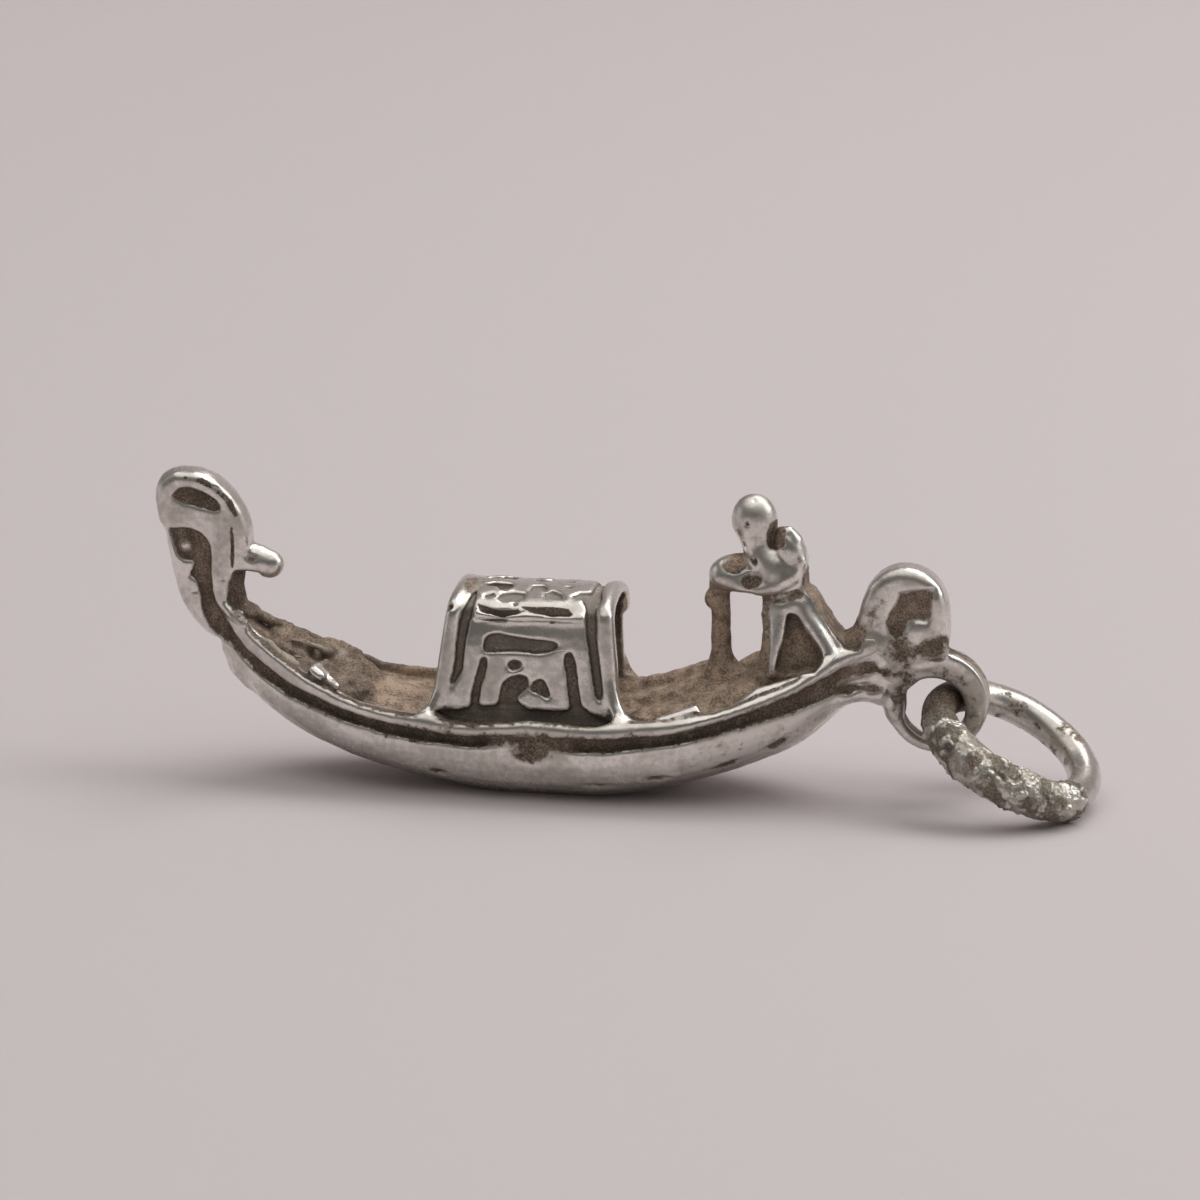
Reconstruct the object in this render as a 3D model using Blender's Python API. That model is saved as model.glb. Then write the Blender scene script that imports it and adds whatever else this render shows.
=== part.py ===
"""Silver gondola charm: a cast boat with cabin, gondolier and stern bail, and the jump ring that hangs in the bail.

The bow points to -X and the stern to +X, +Z is up. The origin is the middle of the small flat worn under the
keel, on which the charm stands. Tables are in millimetres and MM turns them into Blender's metres.
"""

import math

import bmesh
import bpy
from mathutils import Matrix, Vector

MM = 0.001
JOINT_LINE = 0.02  # open line between two soldered castings, mm
SIDES = ((-1, "starboard"), (1, "port"))

# Hull
BOW_FACE_X = -10.30
STERN_FACE_X = 8.90
RAIL_WIDTH = 0.42
RAIL_ROUND = 0.10
STRAKE_SHARE = 0.97  # the lower strake's half breadth, as a share of the rail's
CHANNEL_DEPTH = 0.24
BOTTOM_SHARE = 0.48  # half breadth of the flat bottom, as a share of the rail's
FAIRING = 2  # sections for each of the stations below
HULL_STATIONS = (
    # x, half breadth, rail top, channel top, channel bottom, keel, deck
    (BOW_FACE_X, 0.46, 5.32, 4.80, 4.32, 3.78, 5.26),
    (-9.50, 0.98, 4.82, 4.12, 3.70, 2.68, 4.74),
    (-8.30, 1.60, 4.14, 3.44, 3.02, 1.80, 3.86),
    (-7.00, 2.05, 3.46, 2.92, 2.55, 1.16, 3.10),
    (-5.50, 2.36, 2.96, 2.42, 2.15, 0.68, 2.56),
    (-3.60, 2.55, 2.72, 2.17, 1.83, 0.27, 2.30),
    (-1.30, 2.70, 2.66, 2.20, 1.77, 0.00, 2.30),
    (1.30, 2.78, 2.66, 2.20, 1.78, 0.00, 2.30),
    (3.50, 2.77, 2.84, 2.38, 1.98, 0.38, 2.44),
    (5.00, 2.62, 3.12, 2.72, 2.36, 0.80, 2.84),
    (6.40, 2.30, 3.58, 3.17, 2.76, 1.30, 3.44),
    (7.60, 1.86, 4.08, 3.64, 3.10, 1.88, 3.98),
    (STERN_FACE_X, 0.98, 4.74, 4.30, 3.62, 3.00, 4.66),
)

# Prow iron, in side view
PROW_HALF_THICKNESS = 0.52
PROW_OUTLINE = (
    (-10.33, 4.10), (-10.75, 4.24), (-11.15, 4.63), (-11.44, 5.05), (-11.68, 5.60), (-11.86, 6.33),
    (-11.98, 6.95), (-12.08, 7.42), (-12.30, 7.95), (-12.38, 8.60), (-12.26, 9.08), (-11.98, 9.36),
    (-11.61, 9.46), (-11.15, 9.44), (-10.60, 9.26), (-10.10, 8.86), (-9.70, 8.36), (-9.48, 7.85),
    (-9.42, 7.30), (-9.46, 6.75), (-9.52, 6.20), (-9.62, 5.80), (-9.62, 5.45), (-9.52, 4.88),
    (-10.33, 5.38),
)
PROW_BEVEL = 0.24
CAP_DENT = {"centre": (-11.05, 8.62), "radii": (0.68, 0.22), "turn": 24.0, "depth": 0.20}
NECK_CHANNEL = ((-11.60, 7.35), (-11.15, 7.20), (-10.90, 6.60), (-10.86, 5.90), (-10.70, 5.20), (-10.36, 4.60))
NECK_CHANNEL_WIDTH = 0.36
NECK_CHANNEL_DEPTH = 0.18
COMB_LINE = ((-12.02, 7.10), (-11.86, 6.60), (-11.73, 6.10), (-11.58, 5.62), (-11.34, 5.18))
COMB_STRIP_RADIUS = 0.17
COMB_TOOTH_RADII = (0.20, 0.36, 0.17)
BACK_TOOTH = {"root": (-9.75, 6.66), "knob": (-8.92, 6.56), "radii": (0.52, 0.42, 0.46), "stem": 0.38}

# Carved ornament on the fore deck: place, radii and pitch of its folds
ORNAMENT_FOLDS = (
    # x, y, height over the deck, radius x, radius y, radius z, pitch in degrees
    (-8.15, 0.05, 0.06, 0.85, 0.85, 0.36, 30),
    (-7.15, 0.72, 0.20, 0.90, 0.66, 0.46, 24),
    (-7.30, -0.55, 0.10, 0.80, 0.72, 0.42, 24),
    (-6.40, -0.75, 0.10, 0.72, 0.72, 0.38, 16),
    (-6.40, 0.30, 0.14, 0.70, 0.80, 0.42, 16),
)

# Cabin
CABIN_BASE_Z = 2.32
CABIN_HALF_BASE = 2.08
CABIN_EAVES = (1.74, 5.62)  # half breadth and height where the roof starts
CABIN_CREST_Z = 6.34
CABIN_WALL = 0.42
CABIN_FORE = (-3.62, -2.92)  # x at the base and at the crest
CABIN_AFT = (2.16, 1.72)
ROOF_STEPS = 8
ROOF_DROP = 0.10  # the roof's curve starts this much under the eaves
HOOP_GROOVES = (
    # x at the roof, x at the lower end, width at the roof, width at the lower end, lower end's height
    (-2.42, -2.93, 0.40, 0.16, 3.40),
    (1.22, 1.55, 0.42, 0.24, 3.05),
)
HOOP_DEPTH = 0.17
WINDOW_POCKET = {"x": (-2.24, 0.98), "z": (2.62, 5.12), "depth": 0.20}
WINDOW_PANEL = {"x": (-1.92, 0.66), "z": (2.72, 4.62), "depth": 0.24}
WINDOW_PIT = {"centre": (-1.05, 4.20), "radius": 0.22}
WINDOW_ARCH = {"centre": (-1.05, 3.20), "radius": 0.36}

# Gondolier and oar
COAT_LEVELS = (
    # from the hem up: fore edge x, z, aft edge x, z, half breadth
    (5.98, 3.30, 8.86, 4.52, 0.98),
    (6.16, 4.30, 8.62, 4.95, 0.92),
    (6.28, 5.20, 7.98, 5.85, 0.74),
    (6.16, 6.10, 7.60, 6.70, 0.60),
)
COAT_CORNER = 0.22
COAT_PANEL = ((6.66, 4.15), (7.85, 4.62), (7.14, 5.62))
COAT_PANEL_DEPTH = 0.16
TORSO = {"centre": (6.62, 0.0, 6.86), "radii": (0.90, 0.66, 0.92), "pitch": 24.0}
NECK = {"from": (6.50, 7.35), "to": (6.22, 8.10), "radius": 0.40}
HEAD = {"centre": (6.06, 0.0, 8.60), "radii": (0.66, 0.60, 0.76), "pitch": -8.0}
FORE_ARM = {"centre": (5.50, -0.10, 6.80), "radii": (0.90, 0.54, 0.54), "pitch": -6.0}
AFT_ARM = {"centre": (7.10, -0.10, 7.66), "radii": (0.46, 0.50, 0.70), "pitch": -26.0}
OAR_LINE = ((4.94, 3.02), (4.98, 3.60), (4.96, 4.70), (4.92, 5.60), (4.94, 6.60))
OAR_RADII = (0.46, 0.29, 0.25, 0.30, 0.34)

# Stern boss and bail
BOSS_OUTLINE = (
    (8.93, 5.20), (9.22, 5.42), (9.34, 5.92), (9.60, 6.56), (10.04, 7.08), (10.62, 7.31), (11.18, 7.20),
    (11.64, 6.82), (11.92, 6.24), (11.99, 5.60), (11.92, 4.90), (11.60, 4.45), (10.60, 4.30), (10.10, 3.60),
    (10.02, 2.74), (9.70, 2.96), (9.31, 3.12), (8.93, 3.08),
)
BOSS_HALF_THICKNESS = 0.60
BOSS_BEVEL = 0.30
BOSS_HOLLOW = {"centre": (10.56, 6.02), "radii": (0.72, 0.62), "depth": 0.22}
BAIL_CENTRE = (11.50, 2.90)
BAIL_INNER = 0.98
BAIL_OUTER = 1.56
BAIL_HALF_WIDTH = 0.44
BAIL_ROUND = 0.17
BAIL_STEPS = 28

# Jump ring. It hangs in the bail and lies on the table with its near side a little lower.
RING_PIVOT = (11.76, 2.98)
RING_RADIUS = 2.47
RING_WIRE = 0.52
RING_FALL = 28.1  # slope down from the bail to the far end
RING_ROLL = 4.5  # rise of the wire across the bail
RING_YAW = 13.5  # turn of the wire in the bail, seen from above
RING_STEPS = 48
WIRE_SIDES = 12
SOLDER_ARC = (-152.0, -16.0)  # the stretch that solder has flooded, in degrees from the far end
SOLDER_WIRE = 0.60
SOLDER_LUMP = 0.05

SILVER = {"colour": (0.60, 0.58, 0.55), "roughness": 0.28}
TARNISH = {"colour": (0.30, 0.25, 0.21), "roughness": 0.55}
SOLDER = {"colour": (0.50, 0.49, 0.47), "roughness": 0.45}


def clear_scene():
    """Removes what the startup scene holds."""
    for item in list(bpy.data.objects):
        bpy.data.objects.remove(item)


def metal(name, look):
    """A metal with the given colour and roughness."""
    made = bpy.data.materials.new(name)
    made.use_nodes = True
    shader = made.node_tree.nodes["Principled BSDF"]
    shader.inputs["Base Color"].default_value = (*look["colour"], 1.0)
    shader.inputs["Roughness"].default_value = look["roughness"]
    shader.inputs["Metallic"].default_value = 1.0
    return made


def add_empty(name, at=(0, 0, 0), parent=None):
    """An empty at a place given in millimetres."""
    made = bpy.data.objects.new(name, None)
    made.empty_display_size = 2 * MM
    made.location = Vector(at) * MM
    made.parent = parent
    bpy.context.scene.collection.objects.link(made)
    return made


def add_object(name, bm, finish=None, at=(0, 0, 0), parent=None, smooth_angle=35.0):
    """Turns a bmesh, in millimetres in the boat's frame, into an object in metres whose origin is at a place."""
    bmesh.ops.recalc_face_normals(bm, faces=bm.faces)
    bmesh.ops.translate(bm, vec=-Vector(at), verts=bm.verts)
    bmesh.ops.scale(bm, vec=(MM, MM, MM), verts=bm.verts)
    mesh = bpy.data.meshes.new(name)
    bm.to_mesh(mesh)
    bm.free()
    made = bpy.data.objects.new(name, mesh)
    made.parent = parent
    made.location = Vector(at) * MM - (parent.location if parent else Vector())
    bpy.context.scene.collection.objects.link(made)
    if finish is not None:
        mesh.materials.append(finish)
        mesh.shade_smooth()
        mesh.set_sharp_from_angle(angle=math.radians(smooth_angle))
    return made


def add_cutter(name, bm):
    """A helper solid that only shapes others."""
    made = add_object(name, bm)
    made.hide_render = True
    made.display_type = "WIRE"
    return made


def shape_with(target, cutter, operation="DIFFERENCE"):
    """Cuts the helper from the target, or joins it to the target."""
    step = target.modifiers.new(cutter.name, "BOOLEAN")
    step.operation = operation
    step.solver = "EXACT"
    step.object = cutter


def bevel(target, width, segments=2, angle=40.0):
    """Rounds the target's sharper edges."""
    step = target.modifiers.new("rounding", "BEVEL")
    step.width = width * MM
    step.segments = segments
    step.limit_method = "ANGLE"
    step.angle_limit = math.radians(angle)


def skin_rings(bm, rings):
    """Joins closed rings of equal length into one closed body with flat ends."""
    loops = [[bm.verts.new(point) for point in ring] for ring in rings]
    for first, second in zip(loops, loops[1:]):
        for i in range(len(first)):
            j = (i + 1) % len(first)
            bm.faces.new((first[i], first[j], second[j], second[i]))
    bm.faces.new(loops[0])
    bm.faces.new(loops[-1])
    return bm


def plate(outline, half_thickness, middle=0.0):
    """A plate with the given side view, standing along the boat."""
    rings = [
        [(x, middle + side * half_thickness, z) for x, z in outline]
        for side in (-1, 1)
    ]
    return skin_rings(bmesh.new(), rings)


def ellipsoid(bm, centre, radii, pitch=0.0, segments=16, rings=10):
    """An ellipsoid turned about Y by pitch degrees."""
    place = (
        Matrix.Translation(centre)
        @ Matrix.Rotation(math.radians(pitch), 4, "Y")
        @ Matrix.Diagonal((*radii, 1.0))
    )
    bmesh.ops.create_uvsphere(bm, u_segments=segments, v_segments=rings, radius=1.0, matrix=place)
    return bm


def rod(bm, points, radii, sides=10):
    """A round rod through the points, with flat ends."""
    rings = []
    for i, point in enumerate(points):
        along = Vector(points[min(i + 1, len(points) - 1)]) - Vector(points[max(i - 1, 0)])
        across = along.orthogonal() if abs(along.normalized().y) > 0.9 else Vector((0, 1, 0))
        second = along.cross(across).normalized()
        across = second.cross(along).normalized()
        rings.append(
            [
                Vector(point) + radii[i] * (math.cos(a) * across + math.sin(a) * second)
                for a in (2 * math.pi * k / sides for k in range(sides))
            ]
        )
    return skin_rings(bm, rings)


def in_profile(points, y=0.0):
    """Side-view points as points in space."""
    return [(x, y, z) for x, z in points]


def hull_section(x, half, rail, channel_top, channel_bottom, keel, deck):
    """One closed section of the hull, with its rails, its side channels and its sunk deck.

    The keel is worn flat where it would reach under the table.
    """
    keel = max(keel, 0.0)
    strake = STRAKE_SHARE * half
    channel = strake - CHANNEL_DEPTH * min(1.0, half / 1.4)
    rail_inner = half - min(RAIL_WIDTH, 0.5 * half)
    rise = channel_bottom - keel
    side = [
        (BOTTOM_SHARE * half, keel),
        (0.80 * half, keel + 0.26 * rise),
        (0.94 * half, keel + 0.60 * rise),
        (strake, channel_bottom - 0.10),
        (strake - 0.05, channel_bottom),
        (channel, channel_bottom + 0.05),
        (channel, channel_top - 0.05),
        (half - 0.03, channel_top),
        (half, channel_top + 0.08),
        (half, rail - RAIL_ROUND),
        (half - RAIL_ROUND, rail),
        (rail_inner + 0.05, rail),
        (rail_inner, deck),
    ]
    return [(x, y, z) for y, z in side] + [(x, -y, z) for y, z in reversed(side)]


def faired_stations():
    """The hull's stations with smooth ones between them, on a curve through each column."""
    last = len(HULL_STATIONS) - 1
    faired = []
    for i in range(last):
        four = [HULL_STATIONS[min(max(k, 0), last)] for k in (i - 1, i, i + 1, i + 2)]
        span = four[2][0] - four[1][0]
        for step in range(FAIRING):
            t = step / FAIRING
            columns = []
            for a, b, c, d in list(zip(*four))[1:]:
                start = (c - a) / (four[2][0] - four[0][0]) * span
                end = (d - b) / (four[3][0] - four[1][0]) * span
                columns.append(
                    (2 * t**3 - 3 * t**2 + 1) * b + (t**3 - 2 * t**2 + t) * start
                    + (3 * t**2 - 2 * t**3) * c + (t**3 - t**2) * end
                )
            faired.append((four[1][0] + t * span, *columns))
    return [*faired, HULL_STATIONS[last]]


def deck_height(x):
    """Height of the hull's deck at x."""
    stations = faired_stations()
    for before, after in zip(stations, stations[1:]):
        if x <= after[0]:
            share = (x - before[0]) / (after[0] - before[0])
            return before[-1] + share * (after[-1] - before[-1])
    return stations[-1][-1]


def deck_cutter():
    """All that lies under the deck, raised by a joint line, to trim what stands on it."""
    line = [(station[0], station[-1] + JOINT_LINE) for station in faired_stations()]
    low = -1.0
    outline = [(line[0][0], low), *line, (line[-1][0], low)]
    return add_cutter("under_deck", plate(outline, 4.0))


def build_hull(silver, boat):
    """The boat itself: bottom, sunk side channels, rails and the shallow sunk deck."""
    rings = [hull_section(*station) for station in faired_stations()]
    return add_object("hull", skin_rings(bmesh.new(), rings), silver, parent=boat)


def comb_region(extra):
    """What lies before the neck's front edge, between the comb's ends, grown by extra."""
    back = [(x + 0.10 + extra, z) for x, z in COMB_LINE]
    top = (back[0][0], back[0][1] + 0.22 + extra)
    foot = (back[-1][0], back[-1][1] - 0.20 - extra)
    return [top, *back, foot, (-13.5, foot[1]), (-13.5, top[1])]


def build_prow(silver, tarnish, boat):
    """The prow iron with its cap and neck."""
    foot = (PROW_OUTLINE[0][0], 0, PROW_OUTLINE[0][1])
    iron = add_object("prow_iron", plate(PROW_OUTLINE, PROW_HALF_THICKNESS), silver, foot, boat)
    bevel(iron, PROW_BEVEL)
    for side, name in SIDES:
        x, z = CAP_DENT["centre"]
        place = (x, side * (PROW_HALF_THICKNESS + 0.10), z)
        radii = (CAP_DENT["radii"][0], CAP_DENT["depth"] + 0.10, CAP_DENT["radii"][1])
        shape_with(iron, add_cutter(f"cap_dent_{name}", ellipsoid(bmesh.new(), place, radii, CAP_DENT["turn"])))
        y = side * (PROW_HALF_THICKNESS + NECK_CHANNEL_WIDTH / 2 - NECK_CHANNEL_DEPTH)
        path = in_profile(NECK_CHANNEL, y)
        groove = rod(bmesh.new(), path, [NECK_CHANNEL_WIDTH / 2] * len(path), 8)
        shape_with(iron, add_cutter(f"neck_channel_{name}", groove))
    shape_with(iron, add_cutter("comb_seat", plate(comb_region(JOINT_LINE), 2.0)))
    build_comb(tarnish, boat)
    build_back_tooth(silver, boat)


def build_comb(tarnish, boat):
    """The worn teeth down the front of the prow iron's neck."""
    strip = rod(bmesh.new(), in_profile(COMB_LINE), [COMB_STRIP_RADIUS] * len(COMB_LINE), 8)
    comb = add_object("prow_comb", strip, tarnish, (COMB_LINE[0][0], 0, COMB_LINE[0][1]), boat)
    for number, (x, z) in enumerate(COMB_LINE):
        tooth = ellipsoid(bmesh.new(), (x, 0.0, z), COMB_TOOTH_RADII, 20.0, 12, 8)
        shape_with(comb, add_cutter(f"comb_tooth_{number}", tooth), "UNION")
    shape_with(comb, add_cutter("comb_region", plate(comb_region(0.0), 2.0)), "INTERSECT")


def build_back_tooth(silver, boat):
    """The rounded tooth that points aft from the back of the neck."""
    (x0, z0), (x1, z1) = BACK_TOOTH["root"], BACK_TOOTH["knob"]
    tooth = add_object(
        "prow_back_tooth", ellipsoid(bmesh.new(), (x1, 0, z1), BACK_TOOTH["radii"]), silver, (x1, 0, z1), boat
    )
    stem = rod(bmesh.new(), [(x0, 0, z0), (x1, 0, z1)], [BACK_TOOTH["stem"]] * 2, 12)
    shape_with(tooth, add_cutter("back_tooth_stem", stem), "UNION")
    neck_back = [(x + JOINT_LINE, z) for x, z in PROW_OUTLINE if x > -9.8 and z > 5]
    region = [(-12.0, 8.6), (-12.0, 5.2), *reversed(neck_back)]
    shape_with(tooth, add_cutter("back_tooth_seat", plate(region, 2.0)))


def build_carving(silver, under_deck, boat):
    """The worn folds of carved ornament on the fore deck."""
    x, y, height, rx, ry, rz, pitch = ORNAMENT_FOLDS[0]
    middle = (x, y, deck_height(x))
    first = ellipsoid(bmesh.new(), (x, y, deck_height(x) + height), (rx, ry, rz), pitch, 14, 8)
    carving = add_object("fore_deck_carving", first, silver, middle, boat)
    for number, (x, y, height, rx, ry, rz, pitch) in enumerate(ORNAMENT_FOLDS[1:]):
        fold = ellipsoid(bmesh.new(), (x, y, deck_height(x) + height), (rx, ry, rz), pitch, 14, 8)
        shape_with(carving, add_cutter(f"carved_fold_{number}", fold), "UNION")
    shape_with(carving, under_deck)


def cabin_half_breadth(z, inset=0.0):
    """Half breadth of the cabin's side wall at a height."""
    share = (z - CABIN_BASE_Z) / (CABIN_EAVES[1] - CABIN_BASE_Z)
    return CABIN_HALF_BASE + share * (CABIN_EAVES[0] - CABIN_HALF_BASE) - inset


def cabin_arch(inset, base_z):
    """The cabin's end view as points from the starboard foot over the roof to the port foot."""
    eaves_y, eaves_z = CABIN_EAVES
    rise = CABIN_CREST_Z - inset - eaves_z + ROOF_DROP
    points = [(-cabin_half_breadth(base_z, inset), base_z)]
    for k in range(ROOF_STEPS + 1):
        angle = math.pi * k / ROOF_STEPS
        points.append((-(eaves_y - inset) * math.cos(angle), eaves_z - ROOF_DROP + rise * math.sin(angle) ** 0.8))
    points.append((cabin_half_breadth(base_z, inset), base_z))
    return points


def arch_band(fore, aft, inset, outset, base_z):
    """A hoop of the cabin's section between two leaning ends, each given as x at the base and at the crest."""
    outline = cabin_arch(-outset, base_z) + list(reversed(cabin_arch(inset, base_z)))
    height = CABIN_CREST_Z - CABIN_BASE_Z

    def end(lean):
        return [(lean[0] + (lean[1] - lean[0]) * (z - CABIN_BASE_Z) / height, y, z) for y, z in outline]

    return skin_rings(bmesh.new(), [end(fore), end(aft)])


def groove_hoop(top_x, low_x, top_width, low_width, low_z):
    """The sunk line round the cabin beside an end hoop, which narrows towards its lower ends."""
    stretch = (CABIN_CREST_Z - CABIN_BASE_Z) / (CABIN_CREST_Z - low_z)

    def lean(side):
        top = top_x + side * top_width / 2
        low = low_x + side * low_width / 2
        return (top + (low - top) * stretch, top)

    return arch_band(lean(-1), lean(1), HOOP_DEPTH, 0.3, low_z)


def wall_block(span_x, span_z, inner, outer, side):
    """A block that follows the leaning side wall, from inner to outer depth under the wall's face."""
    corners = ((span_z[0], inner), (span_z[0], outer), (span_z[1], outer), (span_z[1], inner))
    rings = [[(x, side * cabin_half_breadth(z, depth), z) for z, depth in corners] for x in span_x]
    return skin_rings(bmesh.new(), rings)


def build_cabin(silver, boat):
    """The arched cabin with its end hoops, and the relief window in each side."""
    middle = (sum(CABIN_FORE + CABIN_AFT) / 4, 0, CABIN_BASE_Z)
    walls = arch_band(CABIN_FORE, CABIN_AFT, CABIN_WALL, 0.0, CABIN_BASE_Z)
    cabin = add_object("cabin", walls, silver, middle, boat)
    for number, groove in enumerate(HOOP_GROOVES):
        shape_with(cabin, add_cutter(f"hoop_groove_{number}", groove_hoop(*groove)))
    pocket, panel = WINDOW_POCKET, WINDOW_PANEL
    for side, name in SIDES:
        cut = wall_block(pocket["x"], pocket["z"], pocket["depth"], -0.3, side)
        shape_with(cabin, add_cutter(f"window_pocket_{name}", cut))
        face = pocket["depth"] - panel["depth"]
        relief = wall_block(panel["x"], panel["z"], pocket["depth"] - JOINT_LINE, face, side)
        z = sum(panel["z"]) / 2
        place = (sum(panel["x"]) / 2, side * cabin_half_breadth(z), z)
        window = add_object(f"cabin_window_{name}", relief, silver, place, boat)
        bevel(window, 0.05, 1)
        for what, feature in (("pit", WINDOW_PIT), ("arch", WINDOW_ARCH)):
            x, z = feature["centre"]
            place = (x, side * (cabin_half_breadth(z) + 0.06), z)
            hollow = ellipsoid(bmesh.new(), place, (feature["radius"], 0.20, feature["radius"]), 0, 12, 8)
            shape_with(window, add_cutter(f"window_{what}_{name}", hollow))


def coat_ring(fore_x, fore_z, aft_x, aft_z, half):
    """One level of the coat, a slanted rectangle with cut corners."""
    flat = half - COAT_CORNER
    near, far = fore_x + COAT_CORNER, aft_x - COAT_CORNER
    return [
        (fore_x, -flat, fore_z), (near, -half, fore_z), (far, -half, aft_z), (aft_x, -flat, aft_z),
        (aft_x, flat, aft_z), (far, half, aft_z), (near, half, fore_z), (fore_x, flat, fore_z),
    ]


def grown_body(form, extra):
    """One of the figure's rounded forms, grown by extra."""
    return ellipsoid(bmesh.new(), form["centre"], [r + extra for r in form["radii"]], form["pitch"])


def neck_rod(extra):
    """The neck, grown by extra."""
    return rod(bmesh.new(), in_profile((NECK["from"], NECK["to"])), [NECK["radius"] + extra] * 2, 12)


def build_gondolier(silver, under_deck, boat):
    """The standing figure: coat with torso and neck, head, and two arms."""
    rings = [coat_ring(*level) for level in COAT_LEVELS]
    hem = (sum(COAT_LEVELS[0][:3:2]) / 2, 0, COAT_LEVELS[0][1])
    coat = add_object("gondolier_coat", skin_rings(bmesh.new(), rings), silver, hem, boat)
    shape_with(coat, add_cutter("torso", grown_body(TORSO, 0.0)), "UNION")
    shape_with(coat, add_cutter("neck", neck_rod(0.0)), "UNION")
    for side, name in SIDES:
        middle = side * (COAT_LEVELS[0][-1] + 0.5 - COAT_PANEL_DEPTH)
        shape_with(coat, add_cutter(f"coat_panel_{name}", plate(COAT_PANEL, 0.5, middle)))
    shape_with(coat, under_deck)

    head = add_object("gondolier_head", grown_body(HEAD, 0.0), silver, HEAD["centre"], boat)
    socket = add_cutter("neck_socket", neck_rod(JOINT_LINE))
    (x0, z0), (x1, z1) = NECK["from"], NECK["to"]
    socket.location = Vector((x1 - x0, 0, z1 - z0)).normalized() * (JOINT_LINE * MM)
    shape_with(head, socket)

    coat_seat = add_cutter("coat_seat", skin_rings(bmesh.new(), [coat_ring(*grown) for grown in grown_levels()]))
    torso_seat = add_cutter("torso_seat", grown_body(TORSO, JOINT_LINE))
    neck_seat = add_cutter("neck_seat", neck_rod(JOINT_LINE))
    for name, form in (("fore", FORE_ARM), ("aft", AFT_ARM)):
        arm = add_object(f"gondolier_{name}_arm", grown_body(form, 0.0), silver, form["centre"], boat)
        for seat in (coat_seat, torso_seat, neck_seat):
            shape_with(arm, seat)


def grown_levels():
    """The coat's two upper levels, grown by the joint line, to trim the arms."""
    grown = []
    for rise, (fore_x, fore_z, aft_x, aft_z, half) in zip((0, JOINT_LINE), COAT_LEVELS[-2:]):
        grown.append((fore_x - JOINT_LINE, fore_z + rise, aft_x + JOINT_LINE, aft_z + rise, half + JOINT_LINE))
    return grown


def build_oar(tarnish, under_deck, boat):
    """The upright oar that the gondolier holds."""
    foot = (OAR_LINE[0][0], 0, OAR_LINE[0][1])
    oar = add_object("oar", rod(bmesh.new(), in_profile(OAR_LINE), OAR_RADII, 10), tarnish, foot, boat)
    shape_with(oar, under_deck)
    shape_with(oar, add_cutter("oar_hand_seat", grown_body(FORE_ARM, JOINT_LINE)))


def bail_ring(inner, outer, half_width, rounding):
    """A flat band ring about the athwart axis through the bail's centre."""
    cx, cz = BAIL_CENTRE
    section = [
        (inner, -half_width + rounding), (inner + rounding, -half_width), (outer - rounding, -half_width),
        (outer, -half_width + rounding), (outer, half_width - rounding), (outer - rounding, half_width),
        (inner + rounding, half_width), (inner, half_width - rounding),
    ]
    bm = bmesh.new()
    loops = []
    for k in range(BAIL_STEPS):
        angle = 2 * math.pi * k / BAIL_STEPS
        loops.append([bm.verts.new((cx + r * math.cos(angle), y, cz + r * math.sin(angle))) for r, y in section])
    for k in range(BAIL_STEPS):
        first, second = loops[k], loops[(k + 1) % BAIL_STEPS]
        for i in range(len(section)):
            j = (i + 1) % len(section)
            bm.faces.new((first[i], first[j], second[j], second[i]))
    return bm


def build_stern(silver, boat):
    """The stern boss with its hollows, and the bail soldered under it."""
    cx, cz = BAIL_CENTRE
    x, z = BOSS_HOLLOW["centre"]
    boss = add_object("stern_boss", plate(BOSS_OUTLINE, BOSS_HALF_THICKNESS), silver, (x, 0, z), boat)
    bevel(boss, BOSS_BEVEL)
    for side, name in SIDES:
        place = (x, side * (BOSS_HALF_THICKNESS + 0.08), z)
        radii = (BOSS_HOLLOW["radii"][0], BOSS_HOLLOW["depth"] + 0.08, BOSS_HOLLOW["radii"][1])
        shape_with(boss, add_cutter(f"boss_hollow_{name}", ellipsoid(bmesh.new(), place, radii)))
    seat = rod(bmesh.new(), [(cx, -2.0, cz), (cx, 2.0, cz)], [BAIL_OUTER + JOINT_LINE] * 2, BAIL_STEPS)
    shape_with(boss, add_cutter("bail_seat", seat))
    band = bail_ring(BAIL_INNER, BAIL_OUTER, BAIL_HALF_WIDTH, BAIL_ROUND)
    add_object("bail", band, silver, (cx, 0, cz), boat)


def ring_axes():
    """The ring's directions: from the bail to its far end, along its wire in the bail, and its plane's normal."""
    fall, roll, yaw = (math.radians(a) for a in (RING_FALL, RING_ROLL, RING_YAW))
    across = Vector((math.sin(yaw) * math.cos(roll), math.cos(yaw) * math.cos(roll), math.sin(roll)))
    down = Vector((math.cos(fall), 0, -math.sin(fall)))
    along = (down - across * down.dot(across)).normalized()
    return along, across, along.cross(across)


def ring_arc(start, end, steps, radius_at):
    """A stretch of the ring's wire between two angles from its far end, with flat ends."""
    along, across, normal = ring_axes()
    centre = Vector((RING_PIVOT[0], 0, RING_PIVOT[1])) + RING_RADIUS * along
    rings = []
    for k in range(steps + 1):
        angle = math.radians(start + (end - start) * k / steps)
        outward = math.cos(angle) * along + math.sin(angle) * across
        wire = [
            radius_at(k) * (math.cos(a) * outward + math.sin(a) * normal)
            for a in (2 * math.pi * i / WIRE_SIDES for i in range(WIRE_SIDES))
        ]
        rings.append([centre + RING_RADIUS * outward + point for point in wire])
    return skin_rings(bmesh.new(), rings)


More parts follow.
